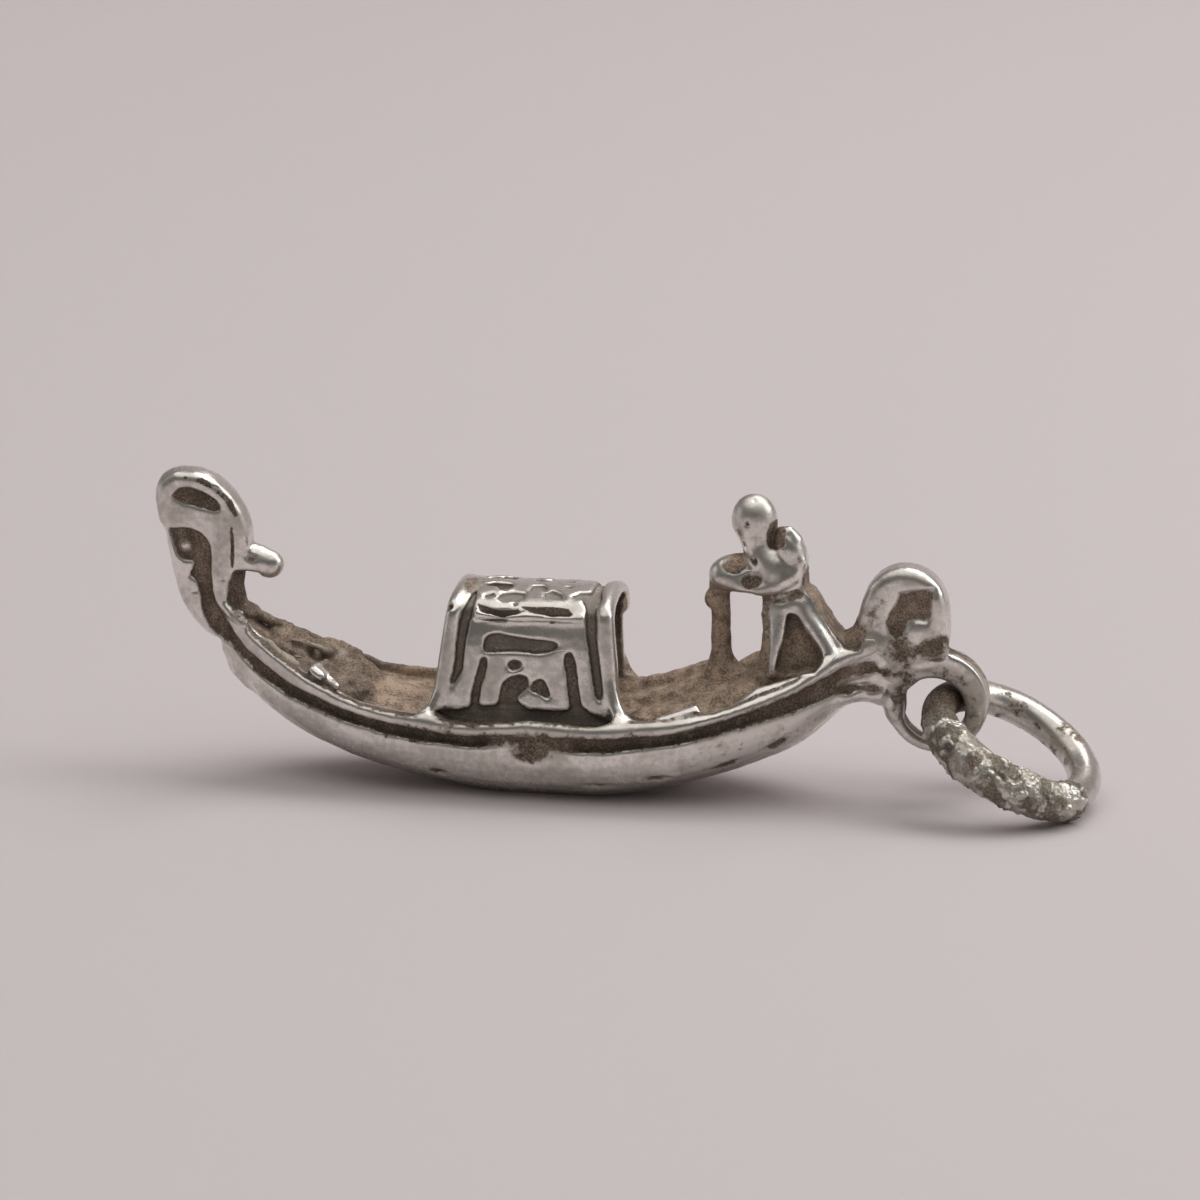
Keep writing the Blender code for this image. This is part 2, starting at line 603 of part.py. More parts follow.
def build_ring(silver, solder, boat):
    """The jump ring, whose clean wire and soldered stretch hang on an empty at the bail's pivot."""
    place = (RING_PIVOT[0], 0, RING_PIVOT[1])
    pivot = add_empty("jump_ring_pivot", place, boat)
    open_line = math.degrees(JOINT_LINE / RING_RADIUS)
    start, end = SOLDER_ARC
    steps = round(RING_STEPS * (360 - (end - start)) / 360)
    wire = ring_arc(end + open_line, start + 360 - open_line, steps, lambda k: RING_WIRE)
    add_object("jump_ring_wire", wire, silver, place, pivot)
    lumps = round(RING_STEPS * (end - start) / 360)
    flood = ring_arc(start, end, lumps, lambda k: solder_radius(k, lumps))
    add_object("jump_ring_solder", flood, solder, place, pivot)


def solder_radius(k, steps):
    """The soldered stretch's radius, which swells between its ends and is a little lumpy."""
    swell = math.sin(math.pi * k / steps)
    return RING_WIRE + (SOLDER_WIRE - RING_WIRE) * min(1.0, 2 * swell) + SOLDER_LUMP * swell * math.sin(2.4 * k)


def main():
    clear_scene()
    silver = metal("silver", SILVER)
    tarnish = metal("tarnished_silver", TARNISH)
    solder = metal("solder", SOLDER)
    boat = add_empty("gondola_charm")
    under_deck = deck_cutter()
    build_hull(silver, boat)
    build_prow(silver, tarnish, boat)
    build_carving(silver, under_deck, boat)
    build_cabin(silver, boat)
    build_gondolier(silver, under_deck, boat)
    build_oar(tarnish, under_deck, boat)
    build_stern(silver, boat)
    build_ring(silver, solder, boat)


main()
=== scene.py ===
"""Looks of the silver gondola charm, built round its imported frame.

The charm is one lost-wax casting with soldered parts, so its surfaces run into each other in soft fillets. Each
sub-assembly lays its forms, as signed distances in millimetres, into one Casting. The Casting is then meshed piece by
piece, one closed mesh for each CAD node, which stops a little inside its neighbours. The jump ring follows a
path, so Geometry Nodes make it.
"""

import logging
import math
from dataclasses import dataclass, field
from enum import Enum
from typing import ClassVar, Iterable, Sequence

import bpy
import numpy as np
from mathutils import Matrix, Vector


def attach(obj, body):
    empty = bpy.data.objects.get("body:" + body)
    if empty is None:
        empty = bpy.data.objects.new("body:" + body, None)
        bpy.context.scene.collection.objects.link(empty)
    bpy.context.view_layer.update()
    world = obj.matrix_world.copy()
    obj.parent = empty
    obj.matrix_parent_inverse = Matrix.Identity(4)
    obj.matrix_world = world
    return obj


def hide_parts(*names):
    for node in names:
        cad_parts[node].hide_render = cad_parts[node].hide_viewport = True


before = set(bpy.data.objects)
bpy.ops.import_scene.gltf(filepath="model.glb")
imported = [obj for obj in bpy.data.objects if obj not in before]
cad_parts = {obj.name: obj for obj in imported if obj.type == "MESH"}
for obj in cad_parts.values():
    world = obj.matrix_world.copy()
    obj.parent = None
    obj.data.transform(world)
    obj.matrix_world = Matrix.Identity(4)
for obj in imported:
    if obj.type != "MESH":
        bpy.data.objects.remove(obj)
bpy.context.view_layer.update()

Array = np.ndarray
Pair = tuple[float, float]
Triple = tuple[float, float, float]
Pairs = Sequence[Pair]
Rows = Sequence[tuple]
Paths = Sequence[Rows]
Socket = bpy.types.NodeSocket

LOG = logging.getLogger("gondola_charm")
MM = 0.001
FAR = 1.5  # a field's value out of every form's reach, mm
REACH = 0.75  # how far round a form its distance is kept, mm
CHARM, RING = "charm", "jump_ring"
PALE_SPECULAR = 0.1  # of the studio's paper


class Work(Enum):
    """What a form does to the casting."""

    ADD = "add"
    CARVE = "carve"
    CLAIM = "claim"


class Slot(Enum):
    """The record's material slots."""

    CAST = "cast_silver"
    TARNISHED = "tarnished_silver"
    WIRE = "ring_wire"
    SOLDER = "solder"


Finishes = dict[Slot, bpy.types.Material]
Pieces = Sequence[tuple[str, Slot, float]]


# Numbers


def smoothstep(low: float, high: float, value: Array) -> Array:
    """A soft step from 0 at low to 1 at high."""
    t = np.clip((value - low) / (high - low), 0.0, 1.0)
    return t * t * (3.0 - 2.0 * t)


def soft_min(a: Array, b: Array, blend: float) -> Array:
    """The smaller of two distances, with a fillet where they are close.

    Args:
        a: First distances.
        b: Second distances.
        blend: How close they are where the fillet starts, mm.

    Returns:
        The joined distances.
    """
    if blend <= 0.0:
        return np.minimum(a, b)
    near = np.maximum(blend - np.abs(a - b), 0.0) / blend
    return np.minimum(a, b) - near * near * blend * 0.25


def outline_distance(u: Array, v: Array, corners: Rows) -> Array:
    """Signed distance to a closed outline, below zero inside.

    Args:
        u: First coordinates of the points.
        v: Second coordinates of the points.
        corners: Corners in order, each a number or an array per coordinate.

    Returns:
        One distance for each point.
    """
    nearest = np.full(u.shape, 1e9)
    inside = np.zeros(u.shape, bool)
    for (au, av), (bu, bv) in zip(corners, [*corners[1:], corners[0]]):
        du, dv = bu - au, bv - av
        share = np.clip(((u - au) * du + (v - av) * dv) / np.maximum(du * du + dv * dv, 1e-12), 0.0, 1.0)
        nearest = np.minimum(nearest, (u - au - share * du) ** 2 + (v - av - share * dv) ** 2)
        rise = np.where(np.abs(dv) < 1e-12, 1e-12, dv)
        inside ^= ((av > v) != (bv > v)) & (u < au + du * (v - av) / rise)
    nearest = np.sqrt(nearest)
    return np.where(inside, -nearest, nearest)


def rounded_slab(flat: Array, thick: Array, rounding: float) -> Array:
    """A slab's distance, from those in its plane and across it, which are drawn in by the rounding of its edges."""
    outside = np.sqrt(np.maximum(flat, 0.0) ** 2 + np.maximum(thick, 0.0) ** 2)
    return outside + np.minimum(np.maximum(flat, thick), 0.0) - rounding


def around(values: Array, edges: Array) -> Array:
    """The sum of each point's neighbours' values, along a mesh's edges."""
    there = np.bincount(edges[:, 0], values[edges[:, 1]], len(values))
    return there + np.bincount(edges[:, 1], values[edges[:, 0]], len(values))


def faired(corners: Pairs, steps: int = 3) -> list[Pair]:
    """A smooth closed curve through the corners.

    Args:
        corners: The points that it goes through.
        steps: Points on the curve for each corner.

    Returns:
        The curve's points.
    """
    count = len(corners)
    points = []
    for i in range(count):
        a, b, c, d = (np.asarray(corners[(i + k) % count], float) for k in (-1, 0, 1, 2))
        for step in range(steps):
            t = step / steps
            bend, twist = 2 * a - 5 * b + 4 * c - d, 3 * b - a - 3 * c + d
            points.append(tuple(0.5 * (2 * b + (c - a) * t + bend * t**2 + twist * t**3)))
    return points


def corner_share(t: Array, dx: int, dy: int, dz: int) -> Array:
    """Share that one corner of a lattice cell has in each point.

    Args:
        t: Places of the points in their cells, 0 to 1 on each axis.
        dx: 1 for the corner at the far end in x, else 0.
        dy: The same in y.
        dz: The same in z.

    Returns:
        One share for each point.
    """
    x, y, z = t[:, 0], t[:, 1], t[:, 2]
    return (x if dx else 1 - x) * (y if dy else 1 - y) * (z if dz else 1 - z)


def rumple(p: Array, size: float, seed: int) -> Array:
    """Smooth noise from -1 to 1 over space.

    Args:
        p: Points, one a row.
        size: Width of its bumps, mm.
        seed: Which noise it is.

    Returns:
        One value for each point.
    """
    table = np.random.default_rng(seed).uniform(-1.0, 1.0, (32, 32, 32)).astype(np.float32)
    q = p / size + 16.0
    cell = np.floor(q).astype(np.int32)
    t = q - cell
    t = t * t * (3.0 - 2.0 * t)
    total = np.zeros(len(p), np.float32)
    for dx in (0, 1):
        for dy in (0, 1):
            for dz in (0, 1):
                weight = corner_share(t, dx, dy, dz)
                total += weight * table[(cell[:, 0] + dx) & 31, (cell[:, 1] + dy) & 31, (cell[:, 2] + dz) & 31]
    return total


# Forms


@dataclass
class Form:
    """A shape given by its signed distance. With mirrored set, the near side's form stands on both sides."""

    mirrored: bool = field(default=False, kw_only=True)

    def near_side(self, p: Array) -> Array:
        """The points, with the far side's laid on the near side where the form is mirrored."""
        if not self.mirrored:
            return p
        q = p.copy()
        q[:, 1] = -np.abs(q[:, 1])
        return q

    def own_box(self) -> tuple[Array, Array]:
        """Lowest and highest corner of the form on its own side."""
        raise NotImplementedError

    def box(self) -> tuple[Array, Array]:
        """Lowest and highest corner."""
        low, high = (np.array(corner, float) for corner in self.own_box())
        if self.mirrored:
            reach = max(abs(low[1]), abs(high[1]))
            low[1], high[1] = -reach, reach
        return low, high

    def depth(self, p: Array) -> Array:
        """Signed distance of the points."""
        raise NotImplementedError


@dataclass
class Lump(Form):
    """An ellipsoid, turned about Y by pitch and then about Z by yaw, in degrees."""

    centre: Triple
    radii: Triple
    pitch: float = 0.0
    yaw: float = 0.0

    def own_box(self) -> tuple[Array, Array]:
        """Lowest and highest corner on its own side."""
        reach = max(self.radii)
        return np.array(self.centre) - reach, np.array(self.centre) + reach

    def depth(self, p: Array) -> Array:
        """Signed distance of the points."""
        turn = Matrix.Rotation(math.radians(self.yaw), 3, "Z") @ Matrix.Rotation(math.radians(self.pitch), 3, "Y")
        q = (self.near_side(p) - np.array(self.centre, p.dtype)) @ np.array(turn, p.dtype)
        radii = np.array(self.radii, p.dtype)
        first = np.sqrt(((q / radii) ** 2).sum(1))
        second = np.sqrt(((q / radii**2) ** 2).sum(1))
        return first * (first - 1.0) / np.maximum(second, 1e-5)


@dataclass
class Strand(Form):
    """A round bar through points, each x, y, z and radius. Squash narrows it along an axis."""

    path: Sequence[tuple[float, float, float, float]]
    squash: Triple = (1.0, 1.0, 1.0)

    def own_box(self) -> tuple[Array, Array]:
        """Lowest and highest corner on its own side."""
        path = np.array(self.path, float)
        return (path[:, :3] - path[:, 3:]).min(0), (path[:, :3] + path[:, 3:]).max(0)

    def depth(self, p: Array) -> Array:
        """Signed distance of the points."""
        squash = np.array(self.squash, p.dtype)
        q = self.near_side(p) / squash
        path = np.array(self.path, p.dtype)
        best = np.full(len(p), 1e9, p.dtype)
        for start, end in zip(path, path[1:]):
            a, b = start[:3] / squash, end[:3] / squash
            along = b - a
            share = np.clip((q - a) @ along / max(float(along @ along), 1e-9), 0.0, 1.0)
            away = q - a - share[:, None] * along
            best = np.minimum(best, np.sqrt((away**2).sum(1)) - (start[3] + share * (end[3] - start[3])))
        return best * float(squash.min())


@dataclass
class Plate(Form):
    """A plate standing along the boat, given in side view. Its half thickness may change with height."""

    outline: Pairs
    half: float | Pairs
    rounding: float = 0.1
    middle: float = 0.0

    def half_at(self, z: Array | float) -> Array | float:
        """Half thickness at a height."""
        if isinstance(self.half, (int, float)):
            return self.half
        heights, halves = zip(*self.half)
        return np.interp(z, heights, halves)

    def own_box(self) -> tuple[Array, Array]:
        """Lowest and highest corner on its own side."""
        outline = np.array(self.outline, float)
        half = self.half if isinstance(self.half, (int, float)) else max(h for _, h in self.half)
        (x0, z0), (x1, z1) = outline.min(0), outline.max(0)
        return np.array((x0, self.middle - half, z0)), np.array((x1, self.middle + half, z1))

    def depth(self, p: Array) -> Array:
        """Signed distance of the points."""
        q = self.near_side(p)
        flat = outline_distance(q[:, 0], q[:, 2], self.outline) + self.rounding
        thick = np.abs(q[:, 1] - self.middle) - self.half_at(q[:, 2]) + self.rounding
        return rounded_slab(flat, thick, self.rounding)


@dataclass
class SkinCut(Form):
    """What lies inside an outline and less than a depth under another form's skin.

    The outline is in side view, or in plan view where plan is set. Low and high keep it between two heights.
    """

    base: Form
    outline: Pairs
    cut: float
    plan: bool = False
    low: float = -1.0
    high: float = 12.0
    mirrored: bool = field(default=True, kw_only=True)

    def own_box(self) -> tuple[Array, Array]:
        """Lowest and highest corner on its own side."""
        low, high = (corner.copy() for corner in self.base.box())
        outline = np.array(self.outline, float)
        (u0, v0), (u1, v1) = outline.min(0), outline.max(0)
        second = 1 if self.plan else 2
        low[0], high[0], low[second], high[second] = u0, u1, v0, v1
        low[2], high[2] = max(low[2], self.low), min(high[2] + 0.3, self.high)
        low[1], high[1] = min(low[1], low[1] - 0.3), min(high[1], 0.0) if not self.plan else high[1]
        return low, high

    def depth(self, p: Array) -> Array:
        """Signed distance of the points."""
        q = self.near_side(p)
        flat = outline_distance(q[:, 0], q[:, 1 if self.plan else 2], self.outline)
        under = -self.base.depth(p) - self.cut
        beyond = np.maximum(self.low - p[:, 2], p[:, 2] - self.high)
        return np.maximum(np.maximum(flat, under), beyond)


@dataclass
class HoopCut(Form):
    """A line sunk round the cabin: where it is and how wide, by height."""

    base: Form
    line: Sequence[Triple]  # height, x, half width
    cut: float

    def own_box(self) -> tuple[Array, Array]:
        """Lowest and highest corner on its own side."""
        low, high = (corner.copy() for corner in self.base.box())
        line = np.array(self.line, float)
        low[0], high[0] = (line[:, 1] - line[:, 2]).min(), (line[:, 1] + line[:, 2]).max()
        low[2], high[2] = line[0, 0], high[2] + 0.3
        return low - np.array((0, 0.3, 0)), high + np.array((0, 0.3, 0))

    def depth(self, p: Array) -> Array:
        """Signed distance of the points."""
        height, x, half = np.array(self.line, float).T
        flat = np.abs(p[:, 0] - np.interp(p[:, 2], height, x)) - np.interp(p[:, 2], height, half)
        return np.maximum(np.maximum(flat, -self.base.depth(p) - self.cut), height[0] - p[:, 2])


@dataclass
class Vault(Form):
    """The cabin's arched body between two leaning ends, drawn in from its outer face by inset."""

    half_base: float
    base_z: float
    eaves: Pair
    crest_z: float
    fore: Pair
    aft: Pair
    inset: float = 0.0
    rounding: float = 0.2
    skew: float = 0.0  # how much further forward the far side's aft end stands at its foot

    def half_breadth(self, z: float) -> float:
        """Half breadth of the outer face at a height."""
        share = (z - self.base_z) / (self.eaves[1] - self.base_z)
        return self.half_base + share * (self.eaves[0] - self.half_base)

    def own_box(self) -> tuple[Array, Array]:
        """Lowest and highest corner on its own side."""
        return (
            np.array((min(self.fore), -self.half_base, self.base_z - 0.3)),
            np.array((max(self.aft), self.half_base, self.crest_z)),
        )

    def depth(self, p: Array) -> Array:
        """Signed distance of the points."""
        y, z = np.abs(p[:, 1]), p[:, 2]
        foot = self.base_z - 0.3
        arch = [(-1.0, foot)]
        for below, drawn in ((self.eaves[1] - foot, 0.0), (0.92, 0.0), (0.55, 0.03), (0.28, 0.075)):
            arch.append((self.half_breadth(self.eaves[1] - below) - drawn - self.inset, self.eaves[1] - below))
        rise = self.crest_z - self.inset - self.eaves[1] + 0.07
        for k in range(9):
            angle = math.pi / 2 * k / 8
            arch.append(((self.eaves[0] - 0.11 - self.inset) * math.cos(angle),
                         self.eaves[1] - 0.07 + rise * math.sin(angle) ** 0.8))
        arch.append((-1.0, self.crest_z - self.inset))
        section = outline_distance(y, z, arch)
        share = (z - self.base_z) / (self.crest_z - self.base_z)
        fore = self.fore[0] + share * (self.fore[1] - self.fore[0]) - p[:, 0]
        shift = self.skew * (1 - share) * smoothstep(-0.5, 1.5, p[:, 1])
        aft = p[:, 0] - self.aft[0] - share * (self.aft[1] - self.aft[0]) + shift
        return -soft_min(-section, -np.maximum(fore, aft), self.rounding)


@dataclass
class Band(Form):
    """A flat ring about the athwart axis, whose hole may stand off its middle."""

    centre: Pair
    radius: float
    hole: Pair
    hole_radius: float
    half: float
    rounding: float

    def own_box(self) -> tuple[Array, Array]:
        """Lowest and highest corner on its own side."""
        x, z = self.centre
        reach = np.array((self.radius, self.half, self.radius))
        return np.array((x, 0.0, z)) - reach, np.array((x, 0.0, z)) + reach

    def depth(self, p: Array) -> Array:
        """Signed distance of the points."""
        outer = np.hypot(p[:, 0] - self.centre[0], p[:, 2] - self.centre[1]) - self.radius
        inner = self.hole_radius - np.hypot(p[:, 0] - self.hole[0], p[:, 2] - self.hole[1])
        flat = np.maximum(outer, inner) + self.rounding
        thick = np.abs(p[:, 1]) - self.half + self.rounding
        return rounded_slab(flat, thick, self.rounding)


# The casting


@dataclass
class Step:
    """One form laid into the casting for an owner."""

    work: Work
    form: Form
    owner: str
    blend: float

    def near(self, p: Array) -> Array:
        """Numbers of the points within the form's reach."""
        reach = REACH if self.work is Work.ADD else self.blend + 0.15
        low, high = self.form.box()
        low, high = (low - reach).astype(p.dtype), (high + reach).astype(p.dtype)
        return np.flatnonzero(((p > low) & (p < high)).all(1))


@dataclass
class Stain:
    """A form in which tarnish is thicker, or thinner below zero, and how warm its brown is."""

    form: Form
    amount: float
    warm: float
    fade: float


@dataclass
class Lattice:
    """Values on an even grid."""

    low: Array
    voxel: float
    values: Array

    def at(self, p: Array) -> Array:
        """Values between the grid's points."""
        q = np.clip((p - self.low) / self.voxel, 0.0, np.array(self.values.shape) - 1.001)
        cell = q.astype(np.int32)
        t = q - cell
        flat = self.values.ravel()
        _, ny, nz = self.values.shape
        base = (cell[:, 0] * ny + cell[:, 1]) * nz + cell[:, 2]
        total = np.zeros(len(p))
        for dx in (0, 1):
            for dy in (0, 1):
                for dz in (0, 1):
                    weight = corner_share(t, dx, dy, dz)
                    total += weight * flat[base + (dx * ny + dy) * nz + dz]
        return total

    def slope(self, p: Array) -> Array:
        """Gradient between the grid's points."""
        steps = np.eye(3) * self.voxel * 0.75
        return np.stack([(self.at(p + s) - self.at(p - s)) / (1.5 * self.voxel) for s in steps], axis=1)


def enlarged(values: Array, factor: int) -> Array:
    """A grid with factor times as many steps, filled in linearly."""
    for axis in range(3):
        count = (values.shape[axis] - 1) * factor + 1
        place = np.arange(count) / factor
        first = np.minimum(place.astype(int), values.shape[axis] - 2)
        shape = [1, 1, 1]
        shape[axis] = count
        t = (place - first).reshape(shape).astype(np.float32)
        values = values.take(first, axis) * (1 - t) + values.take(first + 1, axis) * t
    return values


def blurred(values: Array, passes: int) -> Array:
    """A grid averaged with its neighbours."""
    for _ in range(passes):
        for axis in range(3):
            wide = np.pad(values, [(1, 1) if a == axis else (0, 0) for a in range(3)], mode="edge")
            count = values.shape[axis]
            before, middle, after = (wide.take(np.arange(k, k + count), axis) for k in (0, 1, 2))
            values = 0.25 * before + 0.5 * middle + 0.25 * after
    return values


def skin_of(values: Array) -> tuple[Array, Array]:
    """The surface where a grid's values cross zero, one point in each cell that it passes.

    Args:
        values: The grid, below zero inside.

    Returns:
        Points in grid steps, and quads of their numbers, facing outwards.
    """
    inside = values < 0
    whole = tuple(n - 1 for n in values.shape)
    corners = [(a, b, c) for a in (0, 1) for b in (0, 1) for c in (0, 1)]
    count = np.zeros(whole, np.int8)
    for a, b, c in corners:
        count += inside[a : a + whole[0], b : b + whole[1], c : c + whole[2]]
    cells = np.argwhere((count > 0) & (count < 8))
    number = np.full(whole, -1, np.int32)
    number[tuple(cells.T)] = np.arange(len(cells))
    held = np.stack([values[tuple((cells + corner).T)] for corner in corners], axis=1)
    total, hits = np.zeros((len(cells), 3)), np.zeros(len(cells))
    for i, first in enumerate(corners):
        for j, second in enumerate(corners):
            if j <= i or sum(abs(a - b) for a, b in zip(first, second)) != 1:
                continue
            a, b = held[:, i], held[:, j]
            crossed = (a < 0) != (b < 0)
            share = np.where(crossed, a / np.where(crossed, a - b, 1.0), 0.0)
            spot = np.array(first) + share[:, None] * (np.array(second) - np.array(first))
            total += np.where(crossed[:, None], spot, 0.0)
            hits += crossed
    points = cells + total / hits[:, None]
    quads = []
    for axis in range(3):
        others = [a for a in range(3) if a != axis]
        start = inside.take(np.arange(values.shape[axis] - 1), axis)
        end = inside.take(np.arange(1, values.shape[axis]), axis)
        edges = np.argwhere(start != end)
        edges = edges[(edges[:, others] > 0).all(1) & (edges[:, others] < np.array(whole)[others]).all(1)]
        outward = start[tuple(edges.T)]
        back = np.zeros((4, 3), int)
        back[1, others[0]] = back[2, others[0]] = back[2, others[1]] = back[3, others[1]] = 1
        ring = np.stack([number[tuple((edges - step).T)] for step in back], axis=1)
        if axis == 1:
            outward = ~outward
        quads.append(np.where(outward[:, None], ring, ring[:, ::-1]))
    return points, np.concatenate(quads)


@dataclass
class Casting:
    """The whole charm as a list of forms, and the way to mesh one piece of it."""

    steps: list[Step] = field(default_factory=list)
    stains: list[Stain] = field(default_factory=list)
    wobble: float = 0.022  # how far hand-made forms stray, mm
    wobble_size: float = 1.4
    overlap: float = 0.09  # how far a piece runs on inside its neighbours, mm
    band: float = 0.3  # how far from the skin the fields are exact, mm
    coarse: int = 4
    soften: int = 10  # passes that blur the edge of the tarnish
    relax: int = 3  # passes that even the mesh and lay it back on the skin
    margin: float = 0.45  # room round a piece's forms in its grid, mm
    tuck: float = 0.035  # how far a hidden edge is drawn in, mm
    hollow_probes: Triple = (0.15, 0.35, 0.6)  # heights over the skin that tell a hollow, mm
    wear_probes: Pair = (0.12, 0.25)  # depths under the skin that tell an edge, mm

    def add(self, owner: str, form: Form, blend: float = 0.12) -> None:
        """Joins a form to the casting as part of a piece."""
        self.steps.append(Step(Work.ADD, form, owner, blend))

    def carve(self, form: Form, blend: float = 0.05) -> None:
        """Sinks a form into whatever is there."""
        self.steps.append(Step(Work.CARVE, form, "", blend))

    def claim(self, owner: str, form: Form) -> None:
        """Gives what lies inside a form to a piece, without changing the shape."""
        self.steps.append(Step(Work.CLAIM, form, owner, 0.0))

    def stain(self, form: Form, amount: float, warm: float = 0.0, fade: float = 0.25) -> None:
        """Thickens or thins the tarnish in a form, fading outside it; a warmth below zero darkens it."""
        self.stains.append(Stain(form, amount, warm, fade))

    def stain_lumps(self, rows: Rows) -> None:
        """Stains lumps, each given as centre, radii, pitch, amount, warmth and fade."""
        for centre, radii, pitch, amount, warm, fade in rows:
            self.stain(Lump(centre, radii, pitch), amount, warm, fade)

    def carve_lumps(self, rows: Rows, mirrored: bool = False) -> None:
        """Sinks lumps, each given as centre, radii, pitch and blend."""
        for centre, radii, pitch, blend in rows:
            self.carve(Lump(centre, radii, pitch, mirrored=mirrored), blend)

    def measure(self, p: Array, owner: str) -> tuple[Array, Array, Array]:
        """The casting's fields at points.

        Args:
            p: Points, mm.
            owner: The piece that is being made.

        Returns:
            Distance to the metal, distance to the skin before carving, and how much nearer the piece is than the
            others, below zero where it is the nearest.
        """
        sway = np.stack([rumple(p, self.wobble_size, 11 + k) for k in range(3)], axis=1)
        q = (p + self.wobble * sway).astype(np.float32)
        metal = np.full(len(p), FAR, np.float32)
        skin, own, rest = metal.copy(), metal.copy(), metal.copy()
        for step in self.steps:
            near = step.near(q)
            if not len(near):
                continue
            d = step.form.depth(q[near]).astype(np.float32)
            mine, theirs = (own, rest) if step.owner == owner else (rest, own)
            if step.work is Work.ADD:
                metal[near] = soft_min(metal[near], d, step.blend)
                skin[near] = soft_min(skin[near], d, step.blend)
                mine[near] = np.minimum(mine[near], d)
            elif step.work is Work.CARVE:
                metal[near] = -soft_min(-metal[near], d, step.blend)
                own[near] = np.maximum(own[near], -d)
                rest[near] = np.maximum(rest[near], -d)
            else:
                mine[near] = np.minimum(mine[near], d)
                theirs[near] = np.maximum(theirs[near], -d)
        return metal, skin, own - rest

    def lattices(self, owner: str, voxel: float) -> tuple[Lattice, Lattice, Lattice]:
        """The fields on a grid round a piece, exact near the metal's skin."""
        boxes = [s.form.box() for s in self.steps if s.owner == owner]
        low = np.min([b[0] for b in boxes], axis=0) - self.margin
        high = np.max([b[1] for b in boxes], axis=0) + self.margin
        coarse = voxel * self.coarse
        count = np.ceil((high - low) / coarse).astype(int) + 1
        grid = np.stack(np.meshgrid(*(np.arange(n) * coarse for n in count), indexing="ij"), axis=-1).reshape(-1, 3)
        fields = [f.reshape(count) for f in self.measure((grid + low).astype(np.float32), owner)]
        fields = [enlarged(f, self.coarse) for f in fields]
        spots = np.argwhere(np.abs(fields[0]) < self.band)
        exact = self.measure((spots * voxel + low).astype(np.float32), owner)
        for values, better in zip(fields, exact):
            values[tuple(spots.T)] = better
        passes = max(1, round((0.04 / voxel) ** 2 * 2))
        fields[0] = blurred(fields[0], passes)
        return tuple(Lattice(low, voxel, f) for f in fields)

    def mesh(self, owner: str, voxel: float, rough: float) -> tuple[Array, Array, dict[str, Array]]:
        """Meshes one piece.

        Args:
            owner: The piece.
            voxel: Grid step, mm.
            rough: Height of the tarnished surface's bumps, mm.

        Returns:
            Points in mm, quads, and the tarnish, wear, warmth and shade at each point.
        """
        metal, skin, share = self.lattices(owner, voxel)
        points, quads = skin_of(np.maximum(metal.values, share.values - self.overlap))
        p = points * voxel + metal.low
        shown = share.at(p) < self.overlap - voxel
        edges = np.concatenate([quads[:, [i, (i + 1) % 4]] for i in range(4)])
        degree = np.bincount(edges[:, 0], minlength=len(p)) + np.bincount(edges[:, 1], minlength=len(p))
        for _ in range(self.relax):
            sums = np.stack([around(p[:, k], edges) for k in range(3)], axis=1)
            p = p + 0.5 * (sums / degree[:, None] - p)
            slope = metal.slope(p)
            step = np.clip(metal.at(p) / np.maximum((slope**2).sum(1), 0.05), -voxel, voxel)
            p = np.where(shown[:, None], p - step[:, None] * slope, p)
        slope = metal.slope(p)
        normal = slope / np.maximum(np.linalg.norm(slope, axis=1), 1e-6)[:, None]
        tarnish = smoothstep(0.01, 0.08, -skin.at(p))
        hollow = sum(np.clip(1 - metal.at(p + t * normal) / t, 0, 1) for t in self.hollow_probes) / 3
        wear = sum(np.clip(1 + metal.at(p - t * normal) / t, 0, 1) for t in self.wear_probes) / 2
        tarnish = np.maximum(tarnish, smoothstep(0.22, 0.6, hollow))
        for _ in range(self.soften):
            tarnish = 0.5 * tarnish + 0.5 * around(tarnish, edges) / degree
        under = smoothstep(0.0, self.overlap, share.at(p))
        warm, dark = np.zeros(len(p)), np.zeros(len(p))
        for stain in self.stains:
            low, high = stain.form.box()
            near = np.flatnonzero(((p > low - stain.fade) & (p < high + stain.fade)).all(1))
            share = 1 - smoothstep(0, stain.fade, stain.form.depth(p[near]))
            tarnish[near] += stain.amount * share
            wear[near] += max(-stain.amount, 0.0) * share
            warm[near] = np.maximum(warm[near], stain.warm * share)
            dark[near] = np.maximum(dark[near], -stain.warm * share)
        tarnish = np.clip(tarnish, 0, 1)
        bumps = 0.006 * rumple(p, 0.55, 21) + 0.003 * rumple(p, 0.2, 22)
        bumps = bumps + tarnish * rough * (0.6 * rumple(p, 0.34, 23) + 0.4 * rumple(p, 0.15, 24))
        p = np.where(shown[:, None], p + bumps[:, None] * normal, p) - self.tuck * under[:, None] * normal
        shade = np.clip(0.45 * smoothstep(0.12, 0.6, hollow) + dark, 0, 1)
        return p, quads, {"tarnish": tarnish, "wear": np.clip(wear, 0, 1), "warm": warm, "shade": shade}

